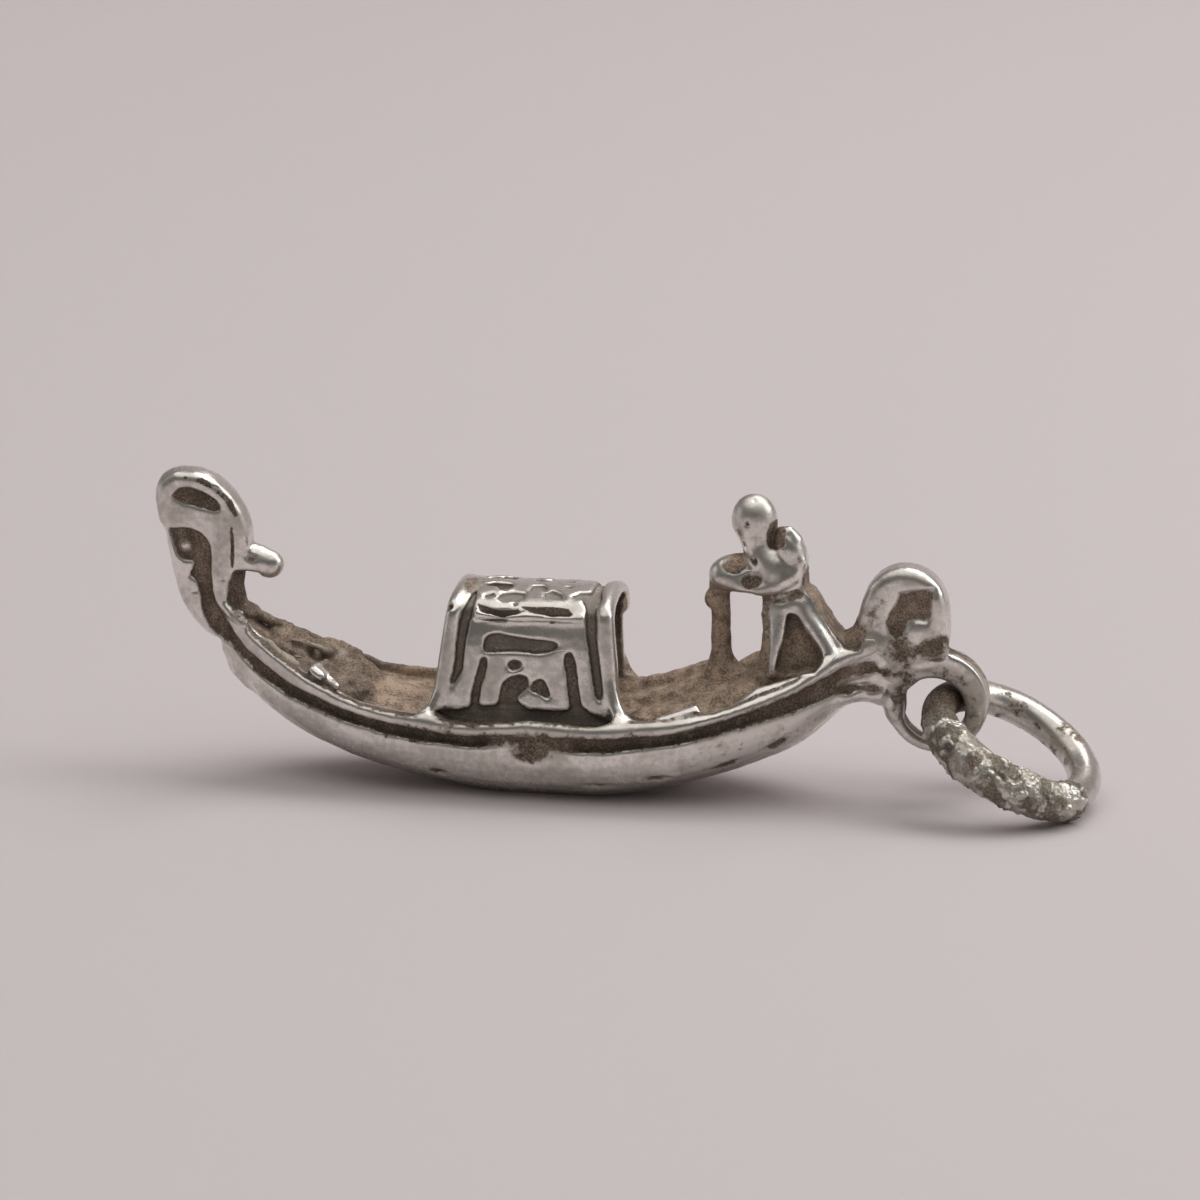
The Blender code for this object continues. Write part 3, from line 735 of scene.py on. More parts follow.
    def piece(self, node: str, voxel: float, material: bpy.types.Material, slot: Slot,
              rough: float = 0.02) -> bpy.types.Object:
        """Makes the object that stands for a CAD node.

        Args:
            node: The CAD node, whose name the piece takes with a suffix.
            voxel: Grid step, mm.
            material: Its finish.
            slot: The record's slot for that finish; not used.
            rough: Height of the tarnished surface's bumps, mm.

        Returns:
            The finished object.
        """
        p, quads, values = self.mesh(node, voxel, rough)
        mesh = bpy.data.meshes.new(f"{node}_cast")
        mesh.vertices.add(len(p))
        mesh.vertices.foreach_set("co", (p * MM).astype(np.float32).ravel())
        mesh.loops.add(quads.size)
        mesh.loops.foreach_set("vertex_index", quads.ravel().astype(np.int32))
        mesh.polygons.add(len(quads))
        mesh.polygons.foreach_set("loop_start", np.arange(len(quads), dtype=np.int32) * 4)
        mesh.update(calc_edges=True)
        mesh.validate()
        mesh.shade_smooth()
        for name, value in values.items():
            mesh.attributes.new(name, "FLOAT", "POINT").data.foreach_set("value", value.astype(np.float32))
        mesh.materials.append(material)
        made = bpy.data.objects.new(f"{node}_cast", mesh)
        bpy.context.scene.collection.objects.link(made)
        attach(made, CHARM)
        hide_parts(node)
        LOG.info("%s: %d faces", made.name, len(quads))
        return made


# Finishes


class Graph:
    """Short ways to build a node tree."""

    def __init__(self, tree: bpy.types.NodeTree) -> None:
        """Holds the tree."""
        self.tree = tree

    def node(self, kind: str, settings: dict | None = None, **sockets: object) -> bpy.types.Node:
        """Adds a node.

        Args:
            kind: Blender's name of the node type.
            settings: Its own properties.
            sockets: Values or outputs for its inputs, by the input's name with _ for a space, or in_ and a number.

        Returns:
            The node.
        """
        made = self.tree.nodes.new(kind)
        for name, value in (settings or {}).items():
            setattr(made, name, value)
        for name, value in sockets.items():
            socket = made.inputs[int(name[3:])] if name.startswith("in_") else made.inputs[name.replace("_", " ")]
            if isinstance(value, Socket):
                self.tree.links.new(value, socket)
            else:
                socket.default_value = value
        return made

    def math(self, operation: str, *values: object, clamp: bool = False) -> Socket:
        """The result of a Math node."""
        sockets = {f"in_{i}": value for i, value in enumerate(values)}
        return self.node("ShaderNodeMath", {"operation": operation, "use_clamp": clamp}, **sockets).outputs[0]

    def plus(self, first: object, second: object, clamp: bool = False) -> Socket:
        """The sum of two values."""
        return self.math("ADD", first, second, clamp=clamp)

    def minus(self, first: object, second: object) -> Socket:
        """The first value less the second."""
        return self.math("SUBTRACT", first, second)

    def times(self, first: object, second: object) -> Socket:
        """The product of two values."""
        return self.math("MULTIPLY", first, second)

    def noise(self, place: Socket, scale: float, detail: float = 2.0, **sockets: object) -> Socket:
        """A noise pattern's value."""
        return self.node("ShaderNodeTexNoise", None, Vector=place, Scale=scale, Detail=detail, **sockets).outputs["Fac"]

    def step(self, value: object, low: float, high: float, start: float = 0.0, end: float = 1.0) -> Socket:
        """A soft step of a value from start to end."""
        return self.node(
            "ShaderNodeMapRange", {"interpolation_type": "SMOOTHSTEP"},
            in_0=value, in_1=low, in_2=high, in_3=start, in_4=end,
        ).outputs[0]

    def mix(self, share: object, first: object, second: object) -> Socket:
        """A colour between two."""
        made = self.node("ShaderNodeMix", {"data_type": "RGBA"}, in_0=share)
        for socket, value in ((made.inputs[6], first), (made.inputs[7], second)):
            if isinstance(value, Socket):
                self.tree.links.new(value, socket)
            else:
                socket.default_value = (*value, 1.0)
        return made.outputs[2]


@dataclass(frozen=True)
class SilverFinish:
    """Old silver: polished where it is touched, brown-grey tarnish where it is sunk, and painted shade, drawn towards
    soot, in hollows.
    """

    name: str
    bright: Triple = (0.84, 0.8, 0.755)
    dull: Triple = (0.56, 0.525, 0.475)
    tan: Triple = (0.61, 0.468, 0.352)
    khaki: Triple = (0.335, 0.262, 0.2)
    umber: Triple = (0.205, 0.15, 0.11)
    soot: Triple = (0.074, 0.059, 0.046)
    polish: float = 0.21  # roughness of the polished metal
    dullness: float = 0.42  # roughness of the metal between
    crust: float = 0.6  # roughness of the tarnish
    spread: float = 0.0  # moves the edge of the tarnish outwards
    broad: float = 900.0  # scales of the four patterns, per metre
    patches: float = 2400.0
    mottle: float = 5200.0
    grit: float = 16000.0
    gloss: float = 0.2  # specular level
    relief: float = 2.2e-5  # height of the bump, metres
    bump: float = 0.35  # strength of the bump

    def material(self) -> bpy.types.Material:
        """Builds the material."""
        made = bpy.data.materials.new(self.name)
        made.use_nodes = True
        graph = Graph(made.node_tree)
        shader = made.node_tree.nodes["Principled BSDF"]
        place = graph.node("ShaderNodeTexCoord").outputs["Object"]
        tarnish, wear, warm, shade = (
            graph.node("ShaderNodeAttribute", {"attribute_name": name}).outputs["Fac"]
            for name in ("tarnish", "wear", "warm", "shade")
        )
        broad = graph.noise(place, self.broad, 3.0)
        patch = graph.noise(place, self.patches, 4.0, Roughness=0.6)
        fine = graph.noise(place, self.mottle, 5.0, Roughness=0.6)
        grit = graph.noise(place, self.grit, 3.0, Roughness=0.65)
        ragged = graph.plus(graph.times(graph.minus(fine, 0.5), 1.1),
                            graph.times(graph.minus(patch, 0.5), 1.3))
        ragged = graph.plus(graph.times(ragged, graph.step(tarnish, 0.0, 0.3, 0.35, 1.0)), self.spread)
        level = graph.minus(graph.plus(tarnish, ragged), graph.times(wear, 0.22))
        crust = graph.step(level, 0.3, 0.66)
        haze = graph.step(graph.plus(graph.times(broad, 0.7), graph.times(fine, 0.5)), 0.42, 0.76)
        haze = graph.times(haze, graph.step(wear, 0.1, 0.55, 1.0, 0.5))
        haze = graph.math("MAXIMUM", haze, graph.step(tarnish, 0.04, 0.45))
        silver = graph.mix(haze, self.bright, self.dull)
        grain = graph.plus(graph.times(broad, 0.35), grit)
        sunk = graph.mix(graph.step(grain, 0.52, 0.86), self.soot,
                         graph.mix(graph.step(patch, 0.42, 0.62), self.umber, self.khaki))
        lit = graph.mix(graph.step(graph.plus(graph.times(patch, 0.9), grit), 0.72, 1.12), self.umber, self.tan)
        links = made.node_tree.links
        # Painted shade: the crust colour is drawn towards soot where the shade attribute marks a hollow, and where
        # stains darken it.
        crust_and_shade = graph.mix(graph.times(shade, 0.9), graph.mix(warm, sunk, lit), self.soot)
        crust_and_shade = graph.mix(graph.step(wear, 0.4, 1.0, 0.0, 0.45), crust_and_shade, self.dull)
        links.new(graph.mix(crust, silver, crust_and_shade), shader.inputs["Base Color"])
        links.new(graph.step(crust, 0.0, 0.6, 1.0, 0.22), shader.inputs["Metallic"])
        shader.inputs["Specular IOR Level"].default_value = self.gloss
        smooth = graph.plus(graph.times(haze, self.dullness - self.polish), self.polish)
        gap = graph.minus(self.crust, smooth)
        links.new(graph.plus(smooth, graph.times(gap, crust)), shader.inputs["Roughness"])
        height = graph.plus(graph.times(fine, graph.plus(crust, 0.25)), graph.times(grit, 0.25))
        bump = graph.node("ShaderNodeBump", None, Strength=self.bump, Distance=self.relief, Height=height)
        links.new(bump.outputs[0], shader.inputs["Normal"])
        return made


# Sub-assemblies


@dataclass
class SubAssembly:
    """Pieces of the casting that are shaped together and meshed one by one."""

    voxel: float = 0.042  # grid step, mm
    pieces: Pieces = ()  # node, slot and height of the tarnished bumps, mm

    def shape(self, casting: Casting) -> None:
        """Lays the forms."""
        raise NotImplementedError

    def dress(self, casting: Casting, finishes: Finishes) -> None:
        """Meshes and dresses the pieces."""
        for node, slot, rough in self.pieces:
            casting.piece(node, self.voxel, finishes[slot], slot, rough)


@dataclass
class HullBody(Form):
    """The hull's solid body under its rails, before the channel and the deck are sunk."""

    table: Array
    strake_share: float
    bottom_share: float

    def columns(self, x: Array) -> list[Array]:
        """Half breadth, rail, channel top, channel bottom, keel and deck at x."""
        return [np.interp(x, self.table[:, 0], self.table[:, k]) for k in range(1, 7)]

    def own_box(self) -> tuple[Array, Array]:
        """Lowest and highest corner on its own side."""
        half = self.table[:, 1].max()
        return np.array((self.table[0, 0], -half, 0.0)), np.array((self.table[-1, 0], half, self.table[:, 2].max()))

    def lean(self, x: Array) -> Array:
        """How much shorter a distance across the sheer is than one straight up."""
        slope = np.gradient(self.table[:, 3], self.table[:, 0])
        return 1.0 / np.sqrt(1.0 + np.interp(x, self.table[:, 0], slope) ** 2)

    def depth(self, p: Array) -> Array:
        """Signed distance of the points."""
        x, y, z = p[:, 0], np.abs(p[:, 1]), p[:, 2]
        half, rail, _, low, keel, _ = self.columns(x)
        keel = np.maximum(keel, 0.0)
        rise = low - keel
        side = [
            (self.bottom_share * half, keel),
            (0.8 * half, keel + 0.26 * rise),
            (0.94 * half, keel + 0.62 * rise),
            (self.strake_share * half, low - 0.02),
            (half, low + 0.3),
        ]
        curve = [side[0]]
        for a, b in zip(side, side[1:]):
            curve += [tuple(0.75 * m + 0.25 * n for m, n in zip(a, b)),
                      tuple(0.25 * m + 0.75 * n for m, n in zip(a, b))]
        top = [(half, rail - 0.3), (half - 0.04, rail - 0.15), (half - 0.13, rail - 0.05), (half - 0.25, rail),
               (-1.0 + 0 * half, rail)]
        section = outline_distance(y, z, [(-1.0 + 0 * half, keel), *curve, *top]) * self.lean(x)
        ends = np.maximum(self.table[0, 0] - x, x - self.table[-1, 0])
        return -soft_min(-section, -ends, 0.15)


@dataclass
class HullCut(Form):
    """What is sunk along the hull, up to a headroom over its highest point."""

    hull: HullBody
    headroom: ClassVar[float] = 0.0

    def own_box(self) -> tuple[Array, Array]:
        """Lowest and highest corner on its own side."""
        low, high = self.hull.own_box()
        return low, high + np.array((0, 0, self.headroom))


@dataclass
class ChannelCut(HullCut):
    """The dark channel sunk along each side between the rail and the strake."""

    cut: float

    def depth(self, p: Array) -> Array:
        """Signed distance of the points."""
        half, _, top, low, _, _ = self.hull.columns(p[:, 0])
        lean = self.hull.lean(p[:, 0])
        floor = self.hull.strake_share * half - self.cut * np.minimum(1.0, half / 1.4)
        between = np.maximum(p[:, 2] - top, low - p[:, 2]) * lean + 0.02 * rumple(p, 0.4, 33)
        return np.maximum(between, floor - np.abs(p[:, 1]))


@dataclass
class DeckCut(HullCut):
    """The shallow well between the rails."""

    rail_width: float
    ragged: float
    headroom: ClassVar[float] = 0.6

    def depth(self, p: Array) -> Array:
        """Signed distance of the points."""
        half, _, _, _, _, deck = self.hull.columns(p[:, 0])
        along = np.stack([p[:, 0], np.sign(p[:, 1]) * 3.0, 0 * p[:, 0]], axis=1)
        inner = half - np.minimum(self.rail_width, 0.5 * half) + self.ragged * rumple(along, 0.42, 31)
        lean = self.hull.lean(p[:, 0])
        return -soft_min(inner - np.abs(p[:, 1]) + 0.03, (p[:, 2] - deck) * lean, 0.1)


@dataclass
class ValleyCut(HullCut):
    """The shallow valley along the top of each rail."""

    inset: float
    radius: float
    reach: Pair
    headroom: ClassVar[float] = 0.2

    def depth(self, p: Array) -> Array:
        """Signed distance of the points."""
        half, rail, _, _, _, _ = self.hull.columns(p[:, 0])
        away = np.hypot(np.abs(p[:, 1]) - (half - self.inset),
                        (p[:, 2] - rail - 0.03) * self.hull.lean(p[:, 0])) - self.radius
        return np.maximum(away, 0.3 * np.maximum(self.reach[0] - p[:, 0], p[:, 0] - self.reach[1]))


@dataclass
class RailCut(HullCut):
    """The worn top of the near rail, flat and lower than the far one."""

    drop: float
    reach: Pair
    headroom: ClassVar[float] = 0.2

    def depth(self, p: Array) -> Array:
        """Signed distance of the points."""
        half, rail, _, _, _, _ = self.hull.columns(p[:, 0])
        fade = smoothstep(self.reach[0], self.reach[0] + 0.7,
                          p[:, 0]) * (1 - smoothstep(self.reach[1] - 0.7, self.reach[1], p[:, 0]))
        above = (rail + 0.06 - (self.drop + 0.06) * fade - p[:, 2]) * self.hull.lean(p[:, 0])
        return np.maximum(above, half - 0.75 + p[:, 1])


@dataclass
class Hull(SubAssembly):
    """The boat: bottom, sunk side channels, rails and the shallow sunk deck."""

    stations: Rows = (
        # x, half breadth, rail top, channel top, channel bottom, keel, deck
        (-10.3, 0.46, 5.32, 4.8, 4.32, 3.78, 5.26),
        (-9.5, 0.98, 4.82, 4.06, 3.66, 2.68, 4.74),
        (-8.3, 1.6, 4.14, 3.34, 2.98, 1.8, 3.86),
        (-7.0, 2.05, 3.46, 2.83, 2.52, 1.16, 3.1),
        (-5.5, 2.36, 2.96, 2.4, 2.13, 0.68, 2.56),
        (-3.6, 2.55, 2.72, 2.17, 1.83, 0.27, 2.3),
        (-1.3, 2.7, 2.66, 2.2, 1.77, 0.0, 2.3),
        (1.3, 2.78, 2.66, 2.2, 1.78, 0.0, 2.3),
        (3.5, 2.77, 2.84, 2.38, 2.06, 0.38, 2.44),
        (5.0, 2.62, 3.12, 2.76, 2.43, 0.8, 2.84),
        (6.4, 2.3, 3.58, 3.22, 2.85, 1.3, 3.44),
        (7.6, 1.86, 4.08, 3.68, 3.2, 1.88, 3.98),
        (8.9, 0.98, 4.74, 4.3, 3.62, 3.0, 4.66),
    )
    channel_cut: float = 0.24
    rail_width: float = 0.42
    voxel: float = 0.066
    pieces: Pieces = (("hull", Slot.CAST, 0.05),)
    notches: Rows = (
        # x, y, z, half length, half height, pitch, yaw
        (-6.76, -1.02, 1.08, 0.36, 0.08, 22.0, -14.0),
        (-3.35, -2.16, 0.78, 0.36, 0.1, 6.0, -4.0),
        (1.65, -2.31, 0.62, 0.6, 0.08, -2.0, 0.0),
        (3.42, -2.31, 0.94, 0.46, 0.09, -4.0, 5.0),
        (5.22, -2.0, 1.28, 0.72, 0.09, -25.0, 12.0),
        (6.8, -1.8, 1.94, 0.62, 0.09, -31.0, 18.0),
        (8.3, -1.22, 2.9, 0.5, 0.08, -24.0, 38.0),
    )

    deck_crusts: Paths = (
        ((0.6, 1.3, 2.3, 0.34), (1.6, 1.3, 2.5, 0.38), (2.5, 1.3, 2.66, 0.4), (3.3, 1.22, 2.84, 0.42),
         (4.1, 1.05, 3.14, 0.48), (4.7, 0.7, 3.4, 0.52), (5.05, 0.3, 3.55, 0.56), (5.6, 0.0, 3.42, 0.4)),
        ((0.6, 0.2, 2.1, 0.4), (2.4, 0.3, 2.26, 0.52), (3.4, 0.2, 2.48, 0.6), (4.4, 0.0, 2.86, 0.62)),
        ((1.2, -0.9, 2.02, 0.4), (2.8, -1.0, 2.18, 0.5), (4.0, -1.0, 2.44, 0.5), (5.0, -0.9, 2.74, 0.44)),
        ((5.3, 1.3, 3.1, 0.4), (5.95, 1.45, 3.5, 0.46), (6.5, 1.3, 3.8, 0.36)),
        ((-6.6, 0.5, 2.8, 0.55), (-5.6, 0.4, 2.42, 0.5), (-4.5, 0.5, 2.16, 0.44), (-3.4, 0.5, 2.06, 0.4)),
        ((-6.2, -0.8, 2.55, 0.5), (-5.3, -0.9, 2.28, 0.44), (-4.3, -0.8, 2.14, 0.4), (-3.4, -0.8, 2.02, 0.36)),
        ((4.4, -0.4, 2.7, 0.44), (5.2, -0.6, 3.0, 0.44), (5.9, -0.9, 3.2, 0.36)),
    )
    rail_ends: Paths = (
        ((8.1, -1.18, 4.18, 0.2), (8.6, -0.92, 4.42, 0.24), (9.1, -0.68, 4.66, 0.25), (9.6, -0.52, 4.9, 0.22)),
        ((7.9, -1.22, 2.92, 0.2), (8.5, -0.88, 3.2, 0.24), (9.2, -0.54, 3.42, 0.28), (9.8, -0.36, 3.4, 0.26)),
        ((8.4, -0.7, 3.95, 0.2), (9.2, -0.45, 4.1, 0.28), (9.9, -0.35, 4.3, 0.28)),
    )
    lips: Paths = (
        # The near rail's thin torn inner edge, aft of the cabin and fore of it.
        ((2.15, -2.32, 2.8, 0.08), (2.57, -2.31, 2.64, 0.08), (3.1, -2.31, 2.62, 0.08), (3.39, -2.31, 2.8, 0.1),
         (3.73, -2.29, 2.9, 0.1), (4.15, -2.25, 3.04, 0.11), (4.53, -2.21, 3.2, 0.1), (4.66, -2.19, 2.92, 0.08),
         (5.1, -2.12, 2.98, 0.08), (5.59, -2.03, 3.14, 0.09), (6.0, -1.93, 3.42, 0.11), (6.36, -1.85, 3.68, 0.12),
         (6.77, -1.71, 3.8, 0.11), (7.29, -1.51, 3.97, 0.09), (7.8, -1.3, 4.12, 0.07)),
        ((-9.96, -0.22, 5.01, 0.04), (-9.6, -0.46, 4.71, 0.05), (-9.11, -0.72, 4.42, 0.05), (-8.77, -0.9, 4.35, 0.06),
         (-8.47, -1.05, 4.12, 0.05), (-8.23, -1.16, 3.9, 0.05), (-7.87, -1.29, 3.73, 0.06), (-7.71, -1.34, 3.54, 0.05),
         (-7.45, -1.43, 3.4, 0.05), (-6.83, -1.63, 3.3, 0.06), (-6.63, -1.67, 3.13, 0.05), (-6.32, -1.73, 2.97, 0.05),
         (-6.07, -1.78, 2.86, 0.05), (-5.51, -1.9, 2.76, 0.05), (-4.81, -1.97, 2.66, 0.05), (-4.41, -2.01, 2.6, 0.05),
         (-3.6, -2.09, 2.56, 0.05)),
    )
    fore_mass: Rows = ((-10.24, 0.0, 4.16, 0.27), (-10.12, 0.0, 3.76, 0.32), (-9.86, 0.0, 3.32, 0.42),
                                  (-9.4, 0.0, 2.96, 0.5))
    ragged: float = 0.08  # how far the rails' inner edges stray

    def body(self) -> HullBody:
        """The hull's solid body, faired through its stations."""
        table = np.array(self.stations, float)
        rows = []
        for i in range(len(table) - 1):
            a, b, c, d = (table[min(max(k, 0), len(table) - 1)] for k in (i - 1, i, i + 1, i + 2))
            span = c[0] - b[0]
            start, end = (c - a) / (c[0] - a[0]) * span, (d - b) / (d[0] - b[0]) * span
            for t in np.arange(8) / 8:
                here, leave = (2 * t**3 - 3 * t**2 + 1) * b, (t**3 - 2 * t**2 + t) * start
                rows.append(here + leave + (3 * t**2 - 2 * t**3) * c + (t**3 - t**2) * end)
        rows.append(table[-1])
        return HullBody(np.array(rows), 0.97, 0.48)

    def shape(self, casting: Casting) -> None:
        """Lays the hull's forms."""
        body = self.body()
        casting.add("hull", body)
        casting.carve(ChannelCut(body, self.channel_cut), 0.13)
        casting.carve(DeckCut(body, self.rail_width, self.ragged), 0.1)
        valley = ValleyCut(body, 0.27, 0.085, (2.6, 7.6))
        casting.carve(valley, 0.08)
        casting.stain(valley, 0.62, 0.0, 0.05)
        casting.carve(RailCut(body, 0.2, (-9.9, -3.5)), 0.07)
        # Painted reflection: the worn flat top of the near rail, fore of the cabin, gets tarnish darkened into a dark
        # band that stands for what it reflects.
        top = [(x, 0.27 - half, rail - 0.2, 0.1) for x, half, rail in body.table[::4, [0, 1, 2]] if -9.3 < x < -3.9]
        casting.stain(Strand(top), 0.5, -0.3, 0.06)
        casting.add("hull", Strand(self.fore_mass), 0.25)
        for x, y, z, length, height, pitch, yaw in self.notches:
            casting.carve(Lump((x, y, z), (length, 0.13, height), pitch, yaw), 0.05)
        casting.add("hull", Lump((-0.42, -2.43, 1.72), (1.42, 0.24, 0.68)), 0.1)
        casting.carve(Lump((-0.55, -2.84, 1.52), (1.3, 0.24, 0.46)), 0.08)
        for path in self.rail_ends:
            casting.add("hull", Strand(path, mirrored=True), 0.12)
        casting.carve(Lump((-5.5, 2.36, 3.05), (0.9, 0.5, 0.16), 8.0), 0.16)
        self.stain(body, casting)

    def settle(self, casting: Casting) -> None:
        """Lays the crust in the deck's corners and the torn lips, over the other pieces' feet."""
        for path in self.deck_crusts:
            casting.add("hull", Strand(path), 0.5)
        for path in self.lips:
            casting.add("hull", Strand([(x, y - 0.04, z - 0.13, r + 0.07) for x, y, z, r in path]), 0.1)
            casting.add("hull", Strand(path), 0.04)
            casting.stain(Strand([(x, y - 0.02, z + 0.02, r + 0.01) for x, y, z, r in path]), -0.9, 0.0, 0.05)

    def stain(self, body: HullBody, casting: Casting) -> None:
        """Browns the deck and the far rail, which no hand rubs."""
        rail = [(x, half - 0.22, top, 0.3) for x, half, top in body.table[::4, [0, 1, 2]]]
        casting.stain(Strand([r for r in rail if r[0] < -3.4]), 0.85, 0.25, 0.1)
        casting.stain(Strand([r for r in rail if 1.9 < r[0] < 7.2]), 0.85, 0.6, 0.1)
        casting.stain(Lump((-4.7, 0.2, 2.5), (1.6, 2.0, 0.42)), 0.8, 1.0, 0.3)
        casting.stain(Lump((4.9, 0.25, 2.9), (3.9, 2.0, 1.1), -12.0), 0.8, 0.8, 0.15)
        for path in self.deck_crusts:
            casting.stain(Strand(path), 0.9, 0.7, 0.15)
        casting.stain(Lump((6.6, -1.9, 2.4), (2.8, 0.9, 1.0), -24.0), 0.2, 0.0, 0.5)
        casting.stain(Lump((-6.0, -2.0, 1.4), (3.2, 0.9, 0.8), 20.0), 0.14, 0.0, 0.5)


@dataclass
class ProwIron(SubAssembly):
    """The prow iron with its cap, neck, back tooth and the worn comb down its front."""

    outline: Pairs = (
        (-10.33, 4.08), (-10.8, 4.2), (-11.23, 4.6), (-11.54, 5.05), (-11.77, 5.6), (-11.95, 6.33), (-12.06, 6.95),
        (-12.15, 7.42), (-12.36, 7.95), (-12.44, 8.6), (-12.33, 9.06), (-12.02, 9.36), (-11.61, 9.46), (-11.15, 9.44),
        (-10.6, 9.26), (-10.1, 8.86), (-9.7, 8.36), (-9.48, 7.85), (-9.42, 7.3), (-9.46, 6.75), (-9.52, 6.2),
        (-9.57, 5.8), (-9.5, 5.4), (-9.3, 4.9), (-9.8, 4.6), (-10.1, 4.2),
    )
    half: float = 0.52
    pieces: Pieces = (
        ("prow_iron", Slot.CAST, 0.02), ("prow_comb", Slot.TARNISHED, 0.02), ("prow_back_tooth", Slot.CAST, 0.02),
    )
    comb_line: Pairs = ((-12.02, 7.1), (-11.86, 6.6), (-11.73, 6.1), (-11.58, 5.62), (-11.34, 5.18))
    recess: Pairs = (
        (-11.95, 7.6), (-11.56, 7.64), (-11.24, 7.61), (-11.0, 7.5), (-10.8, 7.32), (-10.69, 7.1), (-10.67, 6.68),
        (-10.68, 6.19), (-10.64, 5.71), (-10.55, 5.35), (-10.39, 5.09), (-10.23, 4.79), (-10.0, 4.4), (-9.85, 4.17),
        (-10.32, 4.12), (-10.57, 4.41), (-10.77, 4.71), (-10.89, 5.03), (-10.94, 5.33), (-10.96, 5.64), (-11.01, 5.85),
        (-11.1, 6.07), (-11.29, 6.18), (-11.18, 6.38), (-11.14, 6.6), (-11.24, 6.68), (-11.5, 6.69), (-11.71, 6.87),
        (-11.81, 7.11), (-11.88, 7.35),
    )
    lens: Pairs = (
        (-11.77, 8.68), (-11.56, 8.88), (-11.27, 8.9), (-10.97, 8.81), (-10.68, 8.67), (-10.47, 8.53), (-10.35, 8.32),
        (-10.5, 8.27), (-10.8, 8.36), (-11.15, 8.44), (-11.5, 8.5), (-11.71, 8.6),
    )
    rim: Rows = (
        (-12.1, -0.22, 7.9, 0.2), (-12.16, -0.26, 8.45, 0.22), (-12.04, -0.28, 8.92, 0.24), (-11.66, -0.3, 9.16, 0.26),
        (-11.15, -0.3, 9.14, 0.26), (-10.65, -0.3, 8.94, 0.26), (-10.22, -0.3, 8.56, 0.26), (-9.92, -0.3, 8.1, 0.24),
        (-9.74, -0.28, 7.55, 0.22), (-9.68, -0.26, 7.0, 0.18),
    )
    shadow: Rows = (
        (-11.42, -0.42, 9.24, 0.03), (-10.92, -0.42, 9.17, 0.06), (-10.44, -0.42, 8.92, 0.08),
        (-10.06, -0.42, 8.54, 0.08), (-9.84, -0.42, 8.14, 0.04),
    )
    hollow: Pairs = (
        (-9.92, 6.34), (-9.2, 6.26), (-9.2, 5.1), (-9.67, 5.2), (-9.91, 5.18), (-10.12, 5.34), (-10.09, 5.61),
        (-9.94, 5.98),
    )

    def shape(self, casting: Casting) -> None:
        """Lays the prow's forms."""
        blade = Plate(faired(self.outline), self.half, 0.5)
        casting.add("prow_iron", blade, 0.14)
        casting.add("prow_iron", Lump((-11.05, 0.0, 8.1), (1.1, 0.57, 0.95), 22.0), 0.1)
        casting.add("prow_iron", Strand(
            ((-10.08, -0.25, 7.8, 0.26), (-10.26, -0.28, 6.9, 0.29), (-10.32, -0.29, 6.2, 0.27),
             (-10.34, -0.29, 5.7, 0.24),
             (-10.26, -0.38, 5.32, 0.19), (-9.98, -0.6, 5.04, 0.17), (-9.6, -0.82, 4.82, 0.16)), mirrored=True), 0.14)
        casting.add("prow_back_tooth", Strand(
            ((-9.86, 0.0, 6.67, 0.52), (-9.3, 0.0, 6.59, 0.5), (-8.92, 0.0, 6.5, 0.43)), (1.0, 0.92, 1.0)), 0.14)
        casting.add("prow_iron", Strand(self.rim, mirrored=True), 0.1)
        casting.carve(SkinCut(blade, self.recess, 0.17), 0.14)
        casting.carve(SkinCut(blade, self.hollow, 0.16), 0.12)
        casting.carve(SkinCut(blade, self.lens, 0.09), 0.16)
        casting.stain(SkinCut(blade, self.lens, 0.16), 0.35, 0.0, 0.1)
        casting.stain(SkinCut(blade, self.recess, 0.2), 0.1, 0.22, 0.05)
        casting.stain(Strand(self.shadow, (1.0, 5.0, 1.0), mirrored=True), 0.7, -0.7, 0.06)
        casting.add("prow_iron", Strand(((-10.8, 0.0, 4.8, 0.28), (-10.4, 0.0, 4.42, 0.28), (-9.9, 0.0, 4.15, 0.34))),
                    0.1)
        casting.carve_lumps((
            ((-9.36, -0.5, 6.78), (0.19, 0.12, 0.13), 0.0, 0.1),
            ((-10.26, -0.6, 6.1), (0.07, 0.1, 0.07), 0.0, 0.03),
            ((-10.1, -0.52, 5.38), (0.09, 0.12, 0.08), 0.0, 0.03),
        ), mirrored=True)
        comb = Strand([(x + 0.1, 0.0, z, 0.17) for x, z in self.comb_line])
        casting.add("prow_comb", comb, 0.1)
        casting.add("prow_comb", Lump((-11.43, -0.33, 7.1), (0.28, 0.2, 0.27), mirrored=True), 0.06)
        casting.carve_lumps((
            ((-11.52, -0.56, 7.26), (0.09, 0.1, 0.08), 0.0, 0.03),
            ((-11.36, -0.56, 7.03), (0.14, 0.08, 0.06), 24.0, 0.03),
            ((-11.56, -0.56, 6.98), (0.06, 0.08, 0.1), 0.0, 0.03),
        ), mirrored=True)
        casting.carve(Strand(((-11.37, -0.53, 5.66, 0.03), (-11.1, -0.5, 5.69, 0.045)), mirrored=True), 0.03)
        casting.stain(Lump((-9.75, 0.0, 5.75), (0.34, 0.9, 0.52)), 0.9, 0.1)
        casting.stain(Strand([(x + 0.06, 0.0, z, 0.1) for x, z in self.comb_line], (1.0, 6.0, 1.0)), 0.22, 0.2, 0.25)
        casting.stain(Lump((-11.43, -0.4, 7.1), (0.26, 0.3, 0.25), mirrored=True), -0.1, 0.3, 0.12)
        casting.stain(Lump((-9.62, 0.0, 5.02), (0.5, 1.2, 0.3)), 0.5, 0.0, 0.12)
        casting.stain(Lump((-9.36, -0.42, 6.76), (0.16, 0.2, 0.12)), 0.35, 0.1, 0.14)
        casting.stain(Strand(((-9.98, -0.52, 7.72, 0.02), (-9.97, -0.52, 7.2, 0.035), (-9.98, -0.52, 6.5, 0.025)),
                             (1.0, 6.0, 1.0), mirrored=True), 0.9, -0.5, 0.04)


